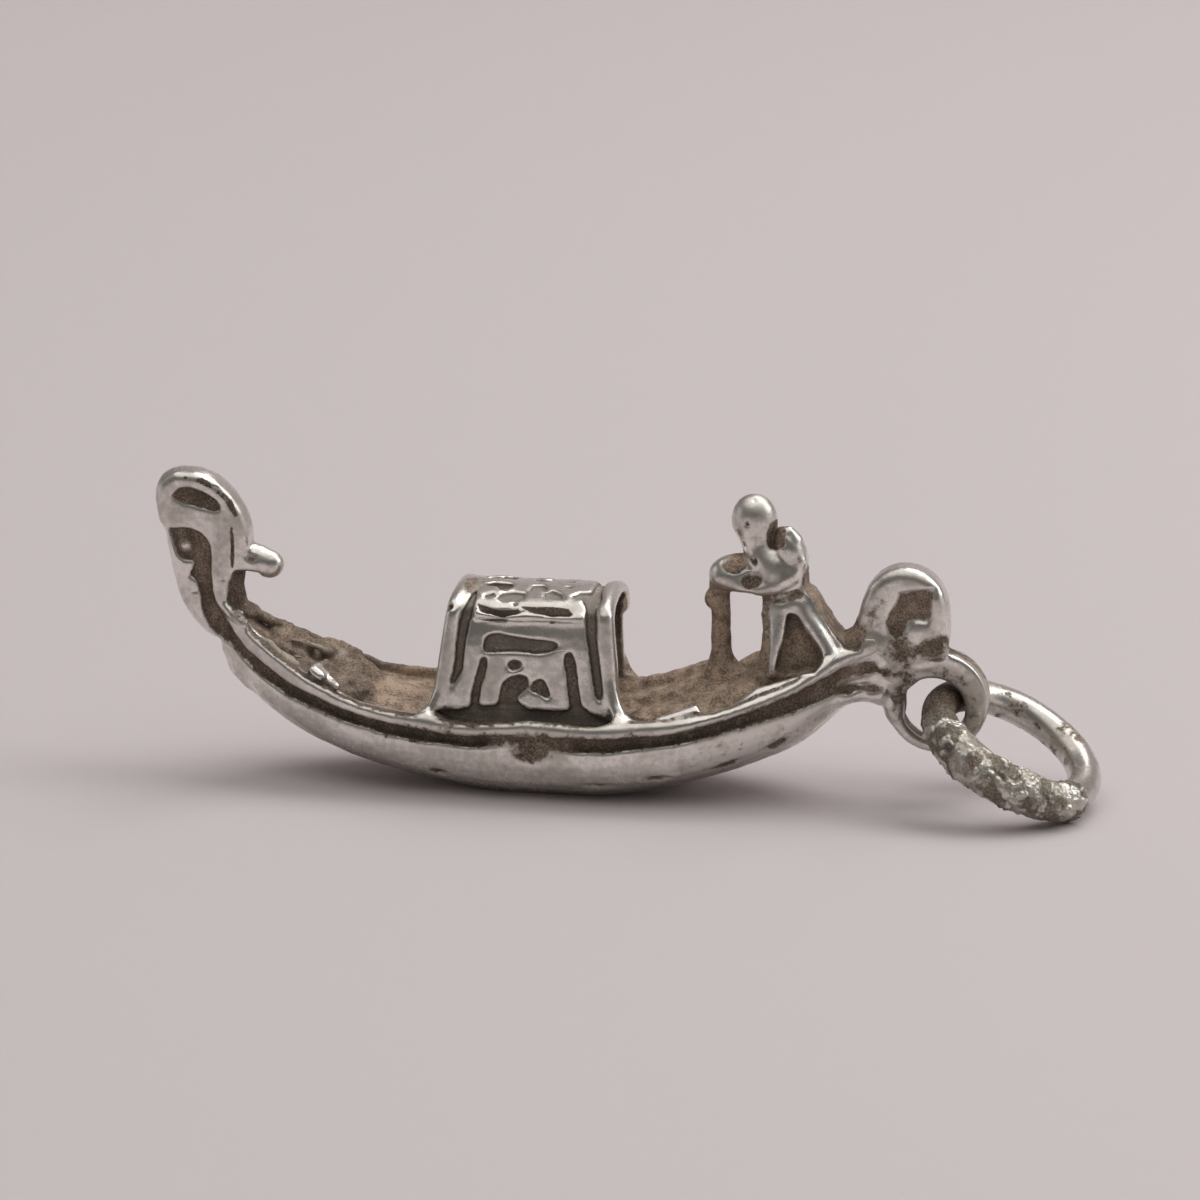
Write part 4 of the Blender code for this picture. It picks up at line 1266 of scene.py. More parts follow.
@dataclass
class ForeDeckCarving(SubAssembly):
    """The worn folds of carved ornament on the fore deck."""

    voxel: float = 0.045
    pieces: Pieces = (("fore_deck_carving", Slot.TARNISHED, 0.07),)
    folds: Rows = (
        # x, y, z, radius x, radius y, radius z, pitch, yaw
        (-8.25, 0.2, 3.92, 0.85, 0.9, 0.42, 30, 0),
        (-7.2, 0.7, 3.34, 0.95, 0.8, 0.5, 24, 12),
        (-7.3, -0.75, 3.22, 0.8, 0.86, 0.42, 24, -15),
        (-6.3, -0.8, 2.86, 0.7, 0.86, 0.34, 14, 0),
        (-6.45, 0.45, 2.98, 0.72, 0.86, 0.46, 16, 0),
    )
    ridges: Paths = (
        # x, y, z and radius at each point: the folds' crests, the star by the near rail and the leaves.
        ((-8.1, -0.4, 4.12, 0.07), (-7.8, -0.15, 4.04, 0.08), (-7.25, -0.25, 3.84, 0.08), (-7.08, 0.2, 3.72, 0.08)),
        ((-7.34, 0.78, 3.84, 0.11), (-6.8, 1.05, 3.6, 0.12), (-6.4, 0.85, 3.46, 0.12), (-6.36, 0.35, 3.36, 0.11),
         (-6.62, 0.1, 3.34, 0.09)),
        ((-7.12, -0.55, 3.6, 0.08), (-7.2, -1.05, 3.62, 0.12), (-7.28, -1.55, 3.6, 0.14), (-7.02, -1.72, 3.48, 0.12)),
        ((-7.45, -1.3, 3.34, 0.16), (-7.15, -1.45, 3.3, 0.2), (-6.8, -1.6, 3.16, 0.16)),
        ((-7.2, -1.3, 3.6, 0.11), (-6.92, -1.45, 3.44, 0.09), (-6.72, -1.62, 3.32, 0.07), (-6.48, -1.9, 3.22, 0.06)),
        ((-8.3, -1.1, 3.92, 0.05), (-8.05, -1.2, 3.8, 0.06), (-7.85, -1.28, 3.7, 0.05)),
        ((-7.95, -1.0, 3.9, 0.05), (-7.62, -0.95, 3.86, 0.06), (-7.45, -1.0, 3.74, 0.06)),
        ((-9.4, 0.05, 4.9, 0.1), (-8.7, 0.2, 4.5, 0.13), (-8.4, 0.3, 4.38, 0.12)),
        ((-6.55, -0.7, 3.2, 0.06), (-6.2, -0.3, 3.12, 0.07), (-5.85, -0.5, 2.96, 0.06), (-5.7, -1.1, 2.86, 0.06)),
    )
    pits: Rows = (
        # x, y, z, radius x, radius y, radius z
        (-7.5, -0.62, 3.82, 0.34, 0.42, 0.14), (-7.56, -1.22, 3.66, 0.2, 0.26, 0.14),
        (-8.1, -0.75, 4.1, 0.36, 0.4, 0.1), (-6.82, 0.45, 3.48, 0.2, 0.24, 0.12), (-6.2, -1.05, 3.1, 0.36, 0.45, 0.1),
        (-5.58, -0.1, 2.72, 0.09, 0.1, 0.16),
    )

    def shape(self, casting: Casting) -> None:
        """Lays the carving's forms."""
        for x, y, z, rx, ry, rz, pitch, yaw in self.folds:
            casting.add("fore_deck_carving", Lump((x, y, z), (rx, ry, rz), pitch, yaw), 0.22)
        for path in self.ridges:
            casting.add("fore_deck_carving", Strand([(x, y, z + 0.03, r + 0.05) for x, y, z, r in path]), 0.09)
        for x, y, z, rx, ry, rz in self.pits:
            casting.carve(Lump((x, y, z), (rx, ry, rz), 24.0), 0.14)
        casting.stain(Lump((-7.1, 0.2, 3.5), (2.5, 1.75, 1.1), 24.0), 0.9, 0.28, 0.12)
        casting.stain(Lump((-9.05, 0.1, 4.6), (1.1, 0.55, 0.7), 32.0), 0.9, 0.25, 0.2)
        casting.stain(Lump((-7.12, -1.45, 3.55), (0.26, 0.3, 0.2)), -0.9, 0.0, 0.12)


@dataclass
class Cabin(SubAssembly):
    """The arched cabin with its end hoops, worn roof and the relief window in each side."""

    pieces: Pieces = (
        ("cabin", Slot.CAST, 0.02), ("cabin_window_starboard", Slot.CAST, 0.02), ("cabin_window_port", Slot.CAST, 0.02),
    )
    vault: Vault = field(default_factory=lambda: Vault(2.08, 2.32, (1.74, 5.62), 6.27, (-3.68, -3.02), (2.14, 1.74),
                                                       0.0, 0.3, 0.36))
    room: Vault = field(default_factory=lambda: Vault(2.08, 2.32, (1.74, 5.62), 6.34, (-4.6, -4.1), (3.0, 2.6), 0.42,
                                                      0.02))
    fore_line: Sequence[Triple] = (
        # height, x, half width
        (3.42, -2.96, 0.0), (3.6, -2.92, 0.06), (3.87, -2.8, 0.1), (4.26, -2.74, 0.11), (4.71, -2.71, 0.12),
        (5.4, -2.58, 0.13), (5.7, -2.5, 0.13), (5.95, -2.42, 0.09), (6.12, -2.38, 0.03), (6.2, -2.38, -0.12),
        (6.34, -2.38, -0.2),
    )
    aft_line: Sequence[Triple] = (
        (3.22, 1.58, 0.03), (3.4, 1.55, 0.09), (3.8, 1.47, 0.12), (4.24, 1.4, 0.12), (4.73, 1.34, 0.12),
        (5.12, 1.29, 0.13), (5.68, 1.25, 0.13), (6.01, 1.25, 0.15), (6.15, 1.28, 0.13), (6.34, 1.34, 0.06),
    )
    wall_cuts: Rows = (
        # depth, outline in side view
        (0.25, ((-1.95, 4.93), (-1.81, 5.06), (-1.54, 5.1), (-1.09, 5.02), (-0.5, 4.94), (0.04, 4.92), (0.26, 4.85),
                (0.29, 4.78), (0.09, 4.63), (-0.25, 4.56), (-0.69, 4.59), (-1.28, 4.59), (-1.72, 4.57), (-1.97, 4.54),
                (-2.0, 4.73))),
        (0.19, ((-2.02, 4.36), (-1.92, 4.37), (-1.9, 4.1), (-1.96, 3.8), (-2.05, 3.51), (-2.1, 3.16), (-2.14, 2.8),
                (-2.35, 2.8), (-2.33, 3.3), (-2.25, 3.64), (-2.16, 3.99), (-2.09, 4.29))),
        (0.2, ((0.51, 4.55), (0.68, 4.63), (0.81, 4.26), (0.87, 3.83), (0.93, 3.44), (1.01, 3.0), (0.69, 2.82),
               (0.66, 3.23), (0.59, 3.62), (0.55, 4.01), (0.49, 4.25))),
        (0.27, ((-3.59, 2.71), (-3.22, 2.69), (-2.73, 2.7), (-2.43, 2.78), (-2.33, 2.88), (-2.14, 2.85), (-1.65, 2.89),
                (-1.5, 2.95), (-0.86, 2.97), (-0.56, 2.81), (-0.17, 2.79), (0.57, 2.82), (0.69, 2.91), (0.96, 3.02),
                (1.25, 2.81), (1.55, 2.68), (2.1, 2.5), (1.11, 2.36), (0.33, 2.3), (-0.46, 2.28), (-1.74, 2.28),
                (-2.38, 2.34), (-3.02, 2.46))),
        (0.19, ((-1.5, 2.9), (-1.46, 3.24), (-1.41, 3.53), (-1.32, 3.68), (-1.17, 3.79), (-0.88, 3.87), (-0.65, 3.81),
                (-0.6, 3.62), (-0.67, 3.44), (-0.84, 3.31), (-0.96, 3.16), (-0.84, 2.9))),
        (0.19, ((-0.55, 3.47), (-0.43, 3.67), (-0.24, 3.78), (-0.11, 3.71), (-0.01, 3.49), (0.07, 3.25), (-0.01, 3.2),
                (-0.23, 3.34), (-0.43, 3.4))),
        (0.15, ((-1.27, 4.13), (-1.23, 4.25), (-1.08, 4.32), (-0.88, 4.29), (-0.81, 4.2), (-0.86, 4.1), (-1.05, 4.01),
                (-1.2, 4.04))),
    )
    roof_cuts: Rows = (
        # depth, outline in plan
        (0.11, ((-2.24, -0.66), (-1.88, -0.5), (-1.39, -0.5), (-1.3, -0.66), (-1.51, -1.01), (-1.64, -0.98),
                (-1.77, -0.8), (-2.11, -0.74))),
        (0.09, ((-2.06, -1.32), (-1.82, -1.2), (-1.76, -1.3), (-2.0, -1.4))),
        (0.12, ((-1.67, -1.38), (-1.53, -1.18), (-1.2, -1.05), (-0.88, -1.12), (-0.87, -1.37), (-1.15, -1.47),
                (-1.53, -1.52))),
        (0.12, ((-0.76, -0.95), (-0.7, -0.52), (-0.41, -0.48), (-0.29, -0.66), (-0.25, -0.94), (-0.5, -0.82),
                (-0.64, -0.9))),
        (0.12, ((-0.27, -1.05), (-0.05, -0.9), (0.23, -1.12), (0.33, -1.36), (0.01, -1.36), (-0.22, -1.29))),
        (0.05, ((0.24, -0.52), (0.48, -0.46), (0.46, -0.68))),
        (0.07, ((-1.17, -1.6), (-1.07, -1.55), (-1.0, -1.62), (-1.1, -1.68))),
        (0.11, ((0.6, -1.2), (0.8, -0.98), (1.14, -0.94), (1.4, -0.9), (1.5, -1.3), (1.42, -1.6), (1.05, -1.56),
                (0.92, -1.3), (0.7, -1.3))),
        (0.035, ((-2.2, -1.42), (-1.7, -1.55), (-0.98, -1.52), (-0.9, -1.62), (-1.4, -1.7), (-2.1, -1.64))),
        (0.035, ((-0.86, -1.46), (-0.1, -1.47), (0.55, -1.5), (0.7, -1.64), (0.1, -1.68), (-0.6, -1.6))),
    )
    floor: Pairs = (
        (-4.9, 1.6), (-4.9, 2.46), (-3.6, 2.34), (2.0, 2.34), (3.3, 2.48), (4.6, 2.8), (5.6, 3.08), (5.6, 1.9),
        (3.3, 1.6),
    )
    panel: Pairs = ((-1.98, 4.6), (0.6, 4.66), (0.84, 2.74), (-2.2, 2.74))
    feet: Paths = (
        ((-3.42, -1.96, 3.1, 0.1), (-3.58, -2.06, 2.72, 0.16), (-3.8, -2.2, 2.52, 0.16)),
        ((1.92, -1.86, 3.6, 0.14), (2.06, -2.0, 3.05, 0.22), (2.24, -2.14, 2.68, 0.26), (2.6, -2.3, 2.52, 0.2),
         (2.95, -2.36, 2.52, 0.12)),
        ((1.62, 1.8, 3.6, 0.14), (1.76, 1.88, 3.05, 0.22), (2.0, 1.96, 2.66, 0.24)),
    )
    rail_wave: Rows = (
        # The rail under the cabin, which sags and swells.
        (-4.4, -2.28, 2.46, 0.2), (-3.6, -2.36, 2.36, 0.21), (-2.3, -2.47, 2.27, 0.21), (-1.3, -2.5, 2.36, 0.21),
        (-0.45, -2.52, 2.46, 0.18), (0.35, -2.52, 2.38, 0.21), (1.3, -2.54, 2.35, 0.19), (2.2, -2.54, 2.38, 0.2),
        (3.2, -2.5, 2.52, 0.18),
    )

    def hoop(self, lean: Pair, radius: float, far_foot: float, sway: float) -> Strand:
        """The rounded hoop at one end.

        Args:
            lean: Its x at the foot and at the crest.
            radius: Its thickness.
            far_foot: The height where it stops on the far side.
            sway: How much further forward the far side's foot stands.

        Returns:
            The hoop.
        """
        path = []
        for k in range(-8, 9):
            angle = math.pi / 2 * (1 - abs(k) / 8)
            across = (self.vault.eaves[0] - radius + 0.06) * math.cos(angle) * (1 if k > 0 else -1)
            path.append((across, self.vault.eaves[1] - 0.1 + (0.73 - radius) * math.sin(angle) ** 0.8))
        foot = self.vault.half_base - radius + 0.05
        drop = (self.vault.eaves[1] - far_foot) / (self.vault.eaves[1] - 2.6)
        last = path[-1][0] + (foot - path[-1][0]) * drop
        path = [(-foot, 2.6), *path, (last, far_foot)]
        height = self.vault.crest_z - self.vault.base_z
        shown = []
        for y, z in path:
            share = (z - self.vault.base_z) / height
            back = sway * (1 - share) if y > 0 else 0.0
            shown.append((lean[0] + (lean[1] - lean[0]) * share - back, y, z, radius))
        return Strand(shown)

    def shape(self, casting: Casting) -> None:
        """Lays the cabin's forms."""
        casting.add("cabin", self.vault, 0.1)
        casting.add("cabin", self.hoop((-3.42, -2.86), 0.22, 2.6, 0.0), 0.14)
        casting.add("cabin", self.hoop((1.9, 1.62), 0.3, 5.3, 0.1), 0.06)
        casting.carve(self.room, 0.1)
        casting.add("cabin", Strand(
            ((-2.15, -1.6, 5.66, 0.17), (-1.4, -1.62, 5.6, 0.17), (-0.6, -1.6, 5.64, 0.17), (0.3, -1.62, 5.61, 0.17),
             (0.95, -1.6, 5.62, 0.15)),
            mirrored=True), 0.14)
        for path in self.feet:
            casting.add("cabin", Strand(path), 0.14)
        casting.add("cabin", Lump((-1.75, 0.0, 6.04), (0.75, 1.0, 0.27)), 0.12)
        casting.carve(HoopCut(self.vault, self.fore_line, 0.16), 0.12)
        casting.carve(HoopCut(self.vault, self.aft_line, 0.16), 0.12)
        for depth, outline in self.wall_cuts:
            casting.carve(SkinCut(self.vault, outline, depth * 0.72, high=5.4), 0.08)
        casting.add("hull", Strand(self.rail_wave, mirrored=True), 0.12)
        casting.add("hull", Plate(self.floor, 2.1, 0.05), 0.1)
        for depth, outline in self.roof_cuts:
            shown = [(x, y + (0.26 if depth > 0.04 else 0.0)) for x, y in outline]
            casting.carve(SkinCut(self.vault, shown, depth, plan=True, low=5.5), 0.1)
            casting.stain(SkinCut(self.vault, shown, depth + 0.12, plan=True, low=5.5), 0.95, -0.5, 0.04)
        casting.stain(Lump((-0.6, 0.0, 6.05), (1.75, 1.45, 0.35)), -0.25, 0.0, 0.2)
        casting.stain(Strand([(x, y - 0.1, z, r) for x, y, z, r in self.rail_wave]), 0.27, 0.0, 0.12)
        casting.carve(Lump((-3.02, -1.55, 5.78), (0.1, 0.12, 0.12), mirrored=True), 0.05)
        for side, name in ((-1, "starboard"), (1, "port")):
            casting.claim(f"cabin_window_{name}", Plate(self.panel, 0.16, 0.02, side * 1.92))
        casting.stain(Lump((0.0, 0.0, 3.9), (4.4, 1.5, 2.1)), 0.8, 0.9, 0.1)
        casting.stain(Lump((2.3, 1.95, 2.9), (1.0, 0.45, 0.9)), 0.9, 0.8, 0.15)
        casting.stain(Lump((-2.5, -0.35, 6.28), (0.22, 0.55, 0.2)), 0.75, 0.3)


@dataclass
class Gondolier(SubAssembly):
    """The standing figure, a worn and faceless form: coat, head and two arms, and the oar it holds."""

    voxel: float = 0.036
    pieces: Pieces = (
        ("gondolier_coat", Slot.CAST, 0.045), ("gondolier_head", Slot.CAST, 0.02),
        ("gondolier_fore_arm", Slot.CAST, 0.02), ("gondolier_aft_arm", Slot.CAST, 0.02), ("oar", Slot.TARNISHED, 0.02),
    )
    coat_outline: Pairs = (
        (6.02, 3.1), (6.22, 4.2), (6.34, 5.2), (6.32, 6.2), (7.2, 7.05), (7.62, 7.05), (7.86, 6.58), (8.2, 6.08),
        (8.58, 5.58), (8.9, 5.26), (9.3, 5.1), (9.1, 4.2),
    )
    coat_half: Pairs = ((3.3, 0.98), (4.3, 0.92), (5.2, 0.76), (6.1, 0.62), (6.7, 0.5))
    web: Pairs = (
        (7.13, 5.77), (7.38, 5.72), (7.54, 5.47), (7.76, 5.16), (8.13, 4.79), (8.21, 4.47), (8.01, 4.2), (7.44, 4.05),
        (7.0, 3.96), (6.75, 4.08), (6.87, 4.6), (7.03, 5.0), (7.06, 5.45),
    )
    back_hollow: Pairs = (
        (7.55, 6.95), (7.62, 6.5), (7.84, 6.35), (8.09, 5.88), (8.5, 5.25), (8.85, 4.8), (9.4, 4.75), (9.4, 5.6),
        (8.6, 6.0), (7.97, 6.9),
    )
    oar_path: Rows = (
        (5.1, 0.0, 3.0, 0.58), (5.06, 0.0, 3.5, 0.42), (5.0, 0.0, 4.0, 0.32), (4.99, 0.0, 4.7, 0.3),
        (4.98, 0.0, 5.6, 0.3), (4.92, 0.0, 6.45, 0.31),
    )
    ridges: Rows = (
        # blend, path: the front and back folds of the coat, and the hem that runs on into the rail
        (0.14, ((7.45, -0.46, 6.08, 0.24), (7.8, -0.62, 5.55, 0.26), (8.2, -0.76, 4.98, 0.26),
                (8.46, -0.86, 4.55, 0.26), (8.25, -1.14, 4.24, 0.22), (7.7, -1.46, 4.02, 0.18))),
        (0.14, ((6.86, -0.46, 5.94, 0.26), (6.84, -0.6, 5.36, 0.24), (6.78, -0.74, 4.8, 0.2), (6.7, -0.88, 4.22, 0.12),
                (6.66, -0.98, 3.95, 0.09))),
        (0.14, ((6.86, -0.44, 5.92, 0.22), (7.15, -0.44, 5.98, 0.2), (7.45, -0.44, 6.04, 0.22))),
        (0.16, ((6.2, -0.58, 6.52, 0.2), (6.7, -0.56, 6.6, 0.22), (7.15, -0.44, 6.88, 0.24), (7.38, -0.3, 7.3, 0.24))),
    )

    def shape(self, casting: Casting) -> None:
        """Lays the figure's and the oar's forms."""
        coat = Plate(faired(self.coat_outline, 2), self.coat_half, 0.22)
        casting.add("gondolier_coat", coat, 0.14)
        casting.add("gondolier_coat", Lump((6.66, -0.05, 6.92), (0.9, 0.66, 0.84), 24.0), 0.14)
        for blend, path in self.ridges:
            casting.add("gondolier_coat", Strand(path, mirrored=True), blend)
        casting.add("gondolier_coat", Strand(
            ((6.04, -0.1, 7.92, 0.46), (6.08, -0.14, 7.7, 0.43), (6.26, -0.2, 7.35, 0.46),
             (6.6, -0.25, 6.95, 0.44))), 0.14)
        casting.add("gondolier_head", Lump((5.97, 0.0, 8.53), (0.7, 0.6, 0.77), -4.0), 0.2)
        casting.claim("gondolier_head", Lump((5.97, 0.0, 8.56), (0.76, 0.66, 0.7), -4.0))
        casting.add("gondolier_fore_arm", Lump((5.52, -0.1, 6.88), (0.9, 0.54, 0.6), -6.0), 0.12)
        casting.add("gondolier_fore_arm",
                    Strand(((4.98, -0.3, 6.74, 0.24), (5.6, -0.46, 6.6, 0.24), (6.3, -0.52, 6.56, 0.24))), 0.12)
        casting.add("gondolier_aft_arm", Lump((7.1, -0.1, 7.66), (0.46, 0.5, 0.74), -26.0), 0.14)
        casting.add("gondolier_aft_arm",
                    Strand(((6.84, -0.22, 8.22, 0.14), (7.05, -0.22, 8.24, 0.17), (7.26, -0.18, 7.98, 0.2))), 0.12)
        casting.add("oar", Strand(self.oar_path, (1.0, 0.9, 1.0)), 0.16)
        casting.add("oar", Lump((4.8, -0.05, 6.02), (0.34, 0.36, 0.34), -30.0), 0.1)
        casting.carve(SkinCut(coat, self.web, 0.2), 0.08)
        casting.carve(SkinCut(coat, self.back_hollow, 0.3), 0.1)
        casting.carve(Strand(((6.45, -0.74, 6.2, 0.09), (6.95, -0.7, 6.28, 0.1), (7.4, -0.62, 6.4, 0.08)),
                             mirrored=True), 0.08)
        casting.claim("gondolier_coat", Lump((6.0, 0.0, 7.48), (0.75, 0.9, 0.5)))
        casting.carve_lumps((
            ((5.44, -0.62, 7.28), (0.4, 0.16, 0.24), -8.0, 0.22),
            ((6.02, -0.82, 6.82), (0.34, 0.15, 0.2), -24.0, 0.22),
            ((6.08, -0.62, 7.34), (0.08, 0.08, 0.1), 0.0, 0.03),
        ))
        casting.carve(Strand(((6.66, -0.5, 8.4, 0.1), (6.68, -0.55, 8.1, 0.15), (6.86, -0.62, 7.94, 0.15))), 0.08)
        casting.carve_lumps((
            ((5.8, -0.58, 8.52), (0.09, 0.08, 0.12), 0.0, 0.03),
            ((6.48, -0.42, 8.76), (0.05, 0.06, 0.06), 0.0, 0.02),
            ((6.0, -0.28, 9.15), (0.05, 0.06, 0.05), 0.0, 0.02),
        ))
        casting.stain_lumps((
            ((6.7, -0.4, 8.15), (0.22, 0.36, 0.36), 0.0, 0.75, 0.25, 0.15),
            ((5.46, -0.4, 7.32), (0.34, 0.34, 0.22), -6.0, 0.42, 0.9, 0.14),
            ((6.0, -0.6, 6.8), (0.3, 0.3, 0.16), -24.0, 0.5, -0.2, 0.16),
            ((6.06, -0.6, 7.42), (0.08, 0.3, 0.16), 0.0, 0.5, 0.0, 0.08),
        ))
        casting.stain(Strand(((4.98, 0.0, 3.3, 0.75), (4.96, 0.0, 5.2, 0.6), (4.8, 0.0, 6.05, 0.55))), 1.0, 0.6, 0.2)
        casting.stain(Strand(((7.75, 0.0, 6.75, 0.5), (8.45, 0.0, 5.6, 0.6), (9.05, 0.0, 4.95, 0.6))), 0.9, 0.55, 0.12)
        casting.stain(Lump((7.5, -0.8, 4.6), (0.6, 0.3, 0.75)), 0.3, 0.45, 0.2)
        casting.stain(Strand(((6.28, -0.3, 6.05, 0.24), (6.3, -0.5, 5.2, 0.28), (6.18, -0.7, 3.9, 0.4)),
                             (1.0, 2.0, 1.0)), 0.75, 0.5, 0.12)
        casting.stain(Strand(((6.45, -0.7, 6.22, 0.12), (6.95, -0.66, 6.28, 0.13), (7.4, -0.58, 6.4, 0.12))), 0.55, 0.2,
                      0.1)

    def dress(self, casting: Casting, finishes: Finishes) -> None:
        """Meshes and dresses the figure, in a silver of its own, and the oar."""
        figure = SilverFinish("figure_silver_finish", polish=0.2, dullness=0.44).material()
        super().dress(casting, {**finishes, Slot.CAST: figure})


@dataclass
class Stern(SubAssembly):
    """The stern boss with its worn hollow, and the bail soldered under it."""

    boss_outline: Pairs = (
        (8.9, 5.18), (9.05, 5.42), (9.16, 5.7), (9.25, 6.06), (9.46, 6.62), (9.84, 7.06), (10.36, 7.3), (10.96, 7.26),
        (11.46, 6.98), (11.78, 6.52), (11.92, 5.92), (11.94, 5.11), (11.86, 4.7), (11.6, 4.45), (10.8, 4.2),
        (10.3, 3.6), (10.05, 2.95), (9.7, 3.06), (9.36, 3.18), (8.9, 3.1), (8.6, 3.16), (8.6, 4.4),
    )
    boss_half: float = 0.6
    pieces: Pieces = (("stern_boss", Slot.CAST, 0.045), ("bail", Slot.CAST, 0.015))
    hollow: Pairs = (
        (10.43, 6.57), (10.83, 6.64), (11.5, 6.7), (11.42, 6.3), (11.42, 5.88), (11.3, 5.67), (10.94, 5.65),
        (10.68, 5.32), (10.17, 5.35), (10.1, 5.61), (10.17, 5.93), (10.37, 6.25),
    )
    bail: Band = field(default_factory=lambda: Band((11.61, 3.14), 1.56, (11.5, 2.91), 0.97, 0.44, 0.11))
    solder: Rows = (
        # owner, x, y, z, radius x, radius y, radius z
        ("stern_boss", 11.02, -0.46, 5.28, 0.4, 0.22, 0.5), ("stern_boss", 9.35, -0.36, 4.5, 0.55, 0.34, 0.3),
        ("stern_boss", 9.95, -0.44, 4.66, 0.3, 0.24, 0.56), ("stern_boss", 10.3, -0.42, 3.95, 0.36, 0.24, 0.4),
        ("stern_boss", 9.6, -0.36, 3.6, 0.5, 0.26, 0.26), ("bail", 10.62, -0.28, 3.86, 0.34, 0.22, 0.3),
        ("stern_boss", 9.6, 0.42, 4.4, 0.55, 0.26, 0.5), ("stern_boss", 10.6, 0.45, 4.6, 0.5, 0.26, 0.4),
        ("bail", 10.75, 0.3, 4.05, 0.4, 0.2, 0.26), ("bail", 11.15, -0.32, 4.3, 0.44, 0.2, 0.2),
        ("bail", 10.32, -0.1, 3.0, 0.34, 0.36, 0.7), ("stern_boss", 11.6, -0.42, 4.8, 0.34, 0.22, 0.26),
        ("stern_boss", 10.1, 0.3, 3.7, 0.4, 0.3, 0.4),
    )
    streaks: Paths = (
        ((8.7, -0.8, 3.72, 0.05), (9.2, -0.66, 3.84, 0.12), (9.8, -0.55, 3.88, 0.14), (10.15, -0.5, 3.6, 0.1)),
        ((8.95, -0.75, 4.48, 0.05), (9.5, -0.55, 4.62, 0.1), (9.9, -0.55, 4.4, 0.1)),
        ((9.2, -0.7, 3.42, 0.05), (9.8, -0.5, 3.34, 0.1), (10.1, -0.45, 3.1, 0.1)),
    )
    gouges: Rows = (
        # x, y, z, radius x, radius y, radius z, pitch
        (10.42, -0.72, 5.0, 0.26, 0.16, 0.4, 0.0), (10.72, -0.76, 4.62, 0.44, 0.14, 0.2, -16.0),
        (11.62, -0.68, 4.98, 0.4, 0.16, 0.2, -20.0), (9.05, -0.9, 4.1, 0.5, 0.14, 0.14, -24.0),
        (9.5, -0.74, 4.08, 0.26, 0.14, 0.12, -30.0), (10.66, -0.66, 4.01, 0.18, 0.14, 0.13, 0.0),
        (9.1, -0.78, 3.7, 0.46, 0.16, 0.15, -20.0), (9.66, -0.74, 4.36, 0.22, 0.14, 0.1, -30.0),
        (10.02, -0.72, 4.02, 0.16, 0.12, 0.18, 0.0), (9.8, -0.72, 3.6, 0.3, 0.14, 0.12, -30.0),
    )

    def shape(self, casting: Casting) -> None:
        """Lays the stern's forms."""
        boss = Plate(faired(self.boss_outline, 2), self.boss_half, 0.36)
        casting.add("stern_boss", boss, 0.34)
        casting.add("bail", self.bail, 0.14)
        casting.carve(SkinCut(boss, self.hollow, 0.09), 0.12)
        for owner, x, y, z, rx, ry, rz in self.solder:
            casting.add(owner, Lump((x, y, z), (rx, ry, rz)), 0.14)
        for x, y, z, rx, ry, rz, pitch in self.gouges:
            casting.carve(Lump((x, y - 0.05, z), (rx, ry, rz), pitch, mirrored=True), 0.16)
            casting.stain(Lump((x, y, z), (rx, 2 * ry, rz), pitch), 0.22, 0.05, 0.26)
        casting.stain_lumps((
            ((10.9, -0.6, 6.05), (0.85, 0.5, 0.75), 0.0, -0.18, 0.2, 0.1),
            ((10.35, -0.6, 4.7), (0.5, 0.5, 0.5), 0.0, 0.3, 0.1, 0.3),
            ((11.55, -0.6, 4.95), (0.5, 0.5, 0.28), -14.0, 0.36, 0.1, 0.2),
            ((9.2, -0.6, 3.95), (0.7, 0.6, 0.42), -20.0, 0.26, 0.15, 0.3),
            ((10.1, -0.5, 3.6), (0.6, 0.5, 0.5), 0.0, 0.25, 0.0, 0.3),
        ))
        for streak in self.streaks:
            casting.stain(Strand(streak, (1.0, 4.0, 1.0)), -0.6, 0.0, 0.12)
        casting.stain_lumps((
            ((11.0, 0.4, 4.4), (1.6, 0.5, 1.2), 0.0, 0.3, 0.1, 0.4),
            ((11.5, 0.0, 2.9), (1.06, 0.36, 1.06), 0.0, 0.9, 0.15, 0.06),
            ((11.5, 0.0, 3.2), (1.7, 0.6, 1.5), 0.0, 0.42, 0.0, 0.2),
            ((9.4, 0.0, 6.2), (0.7, 0.9, 1.3), 0.0, 0.25, 0.1, 0.4),
            ((9.15, 0.0, 5.2), (0.42, 0.8, 0.32), 0.0, 0.7, 0.4, 0.15),
        ))


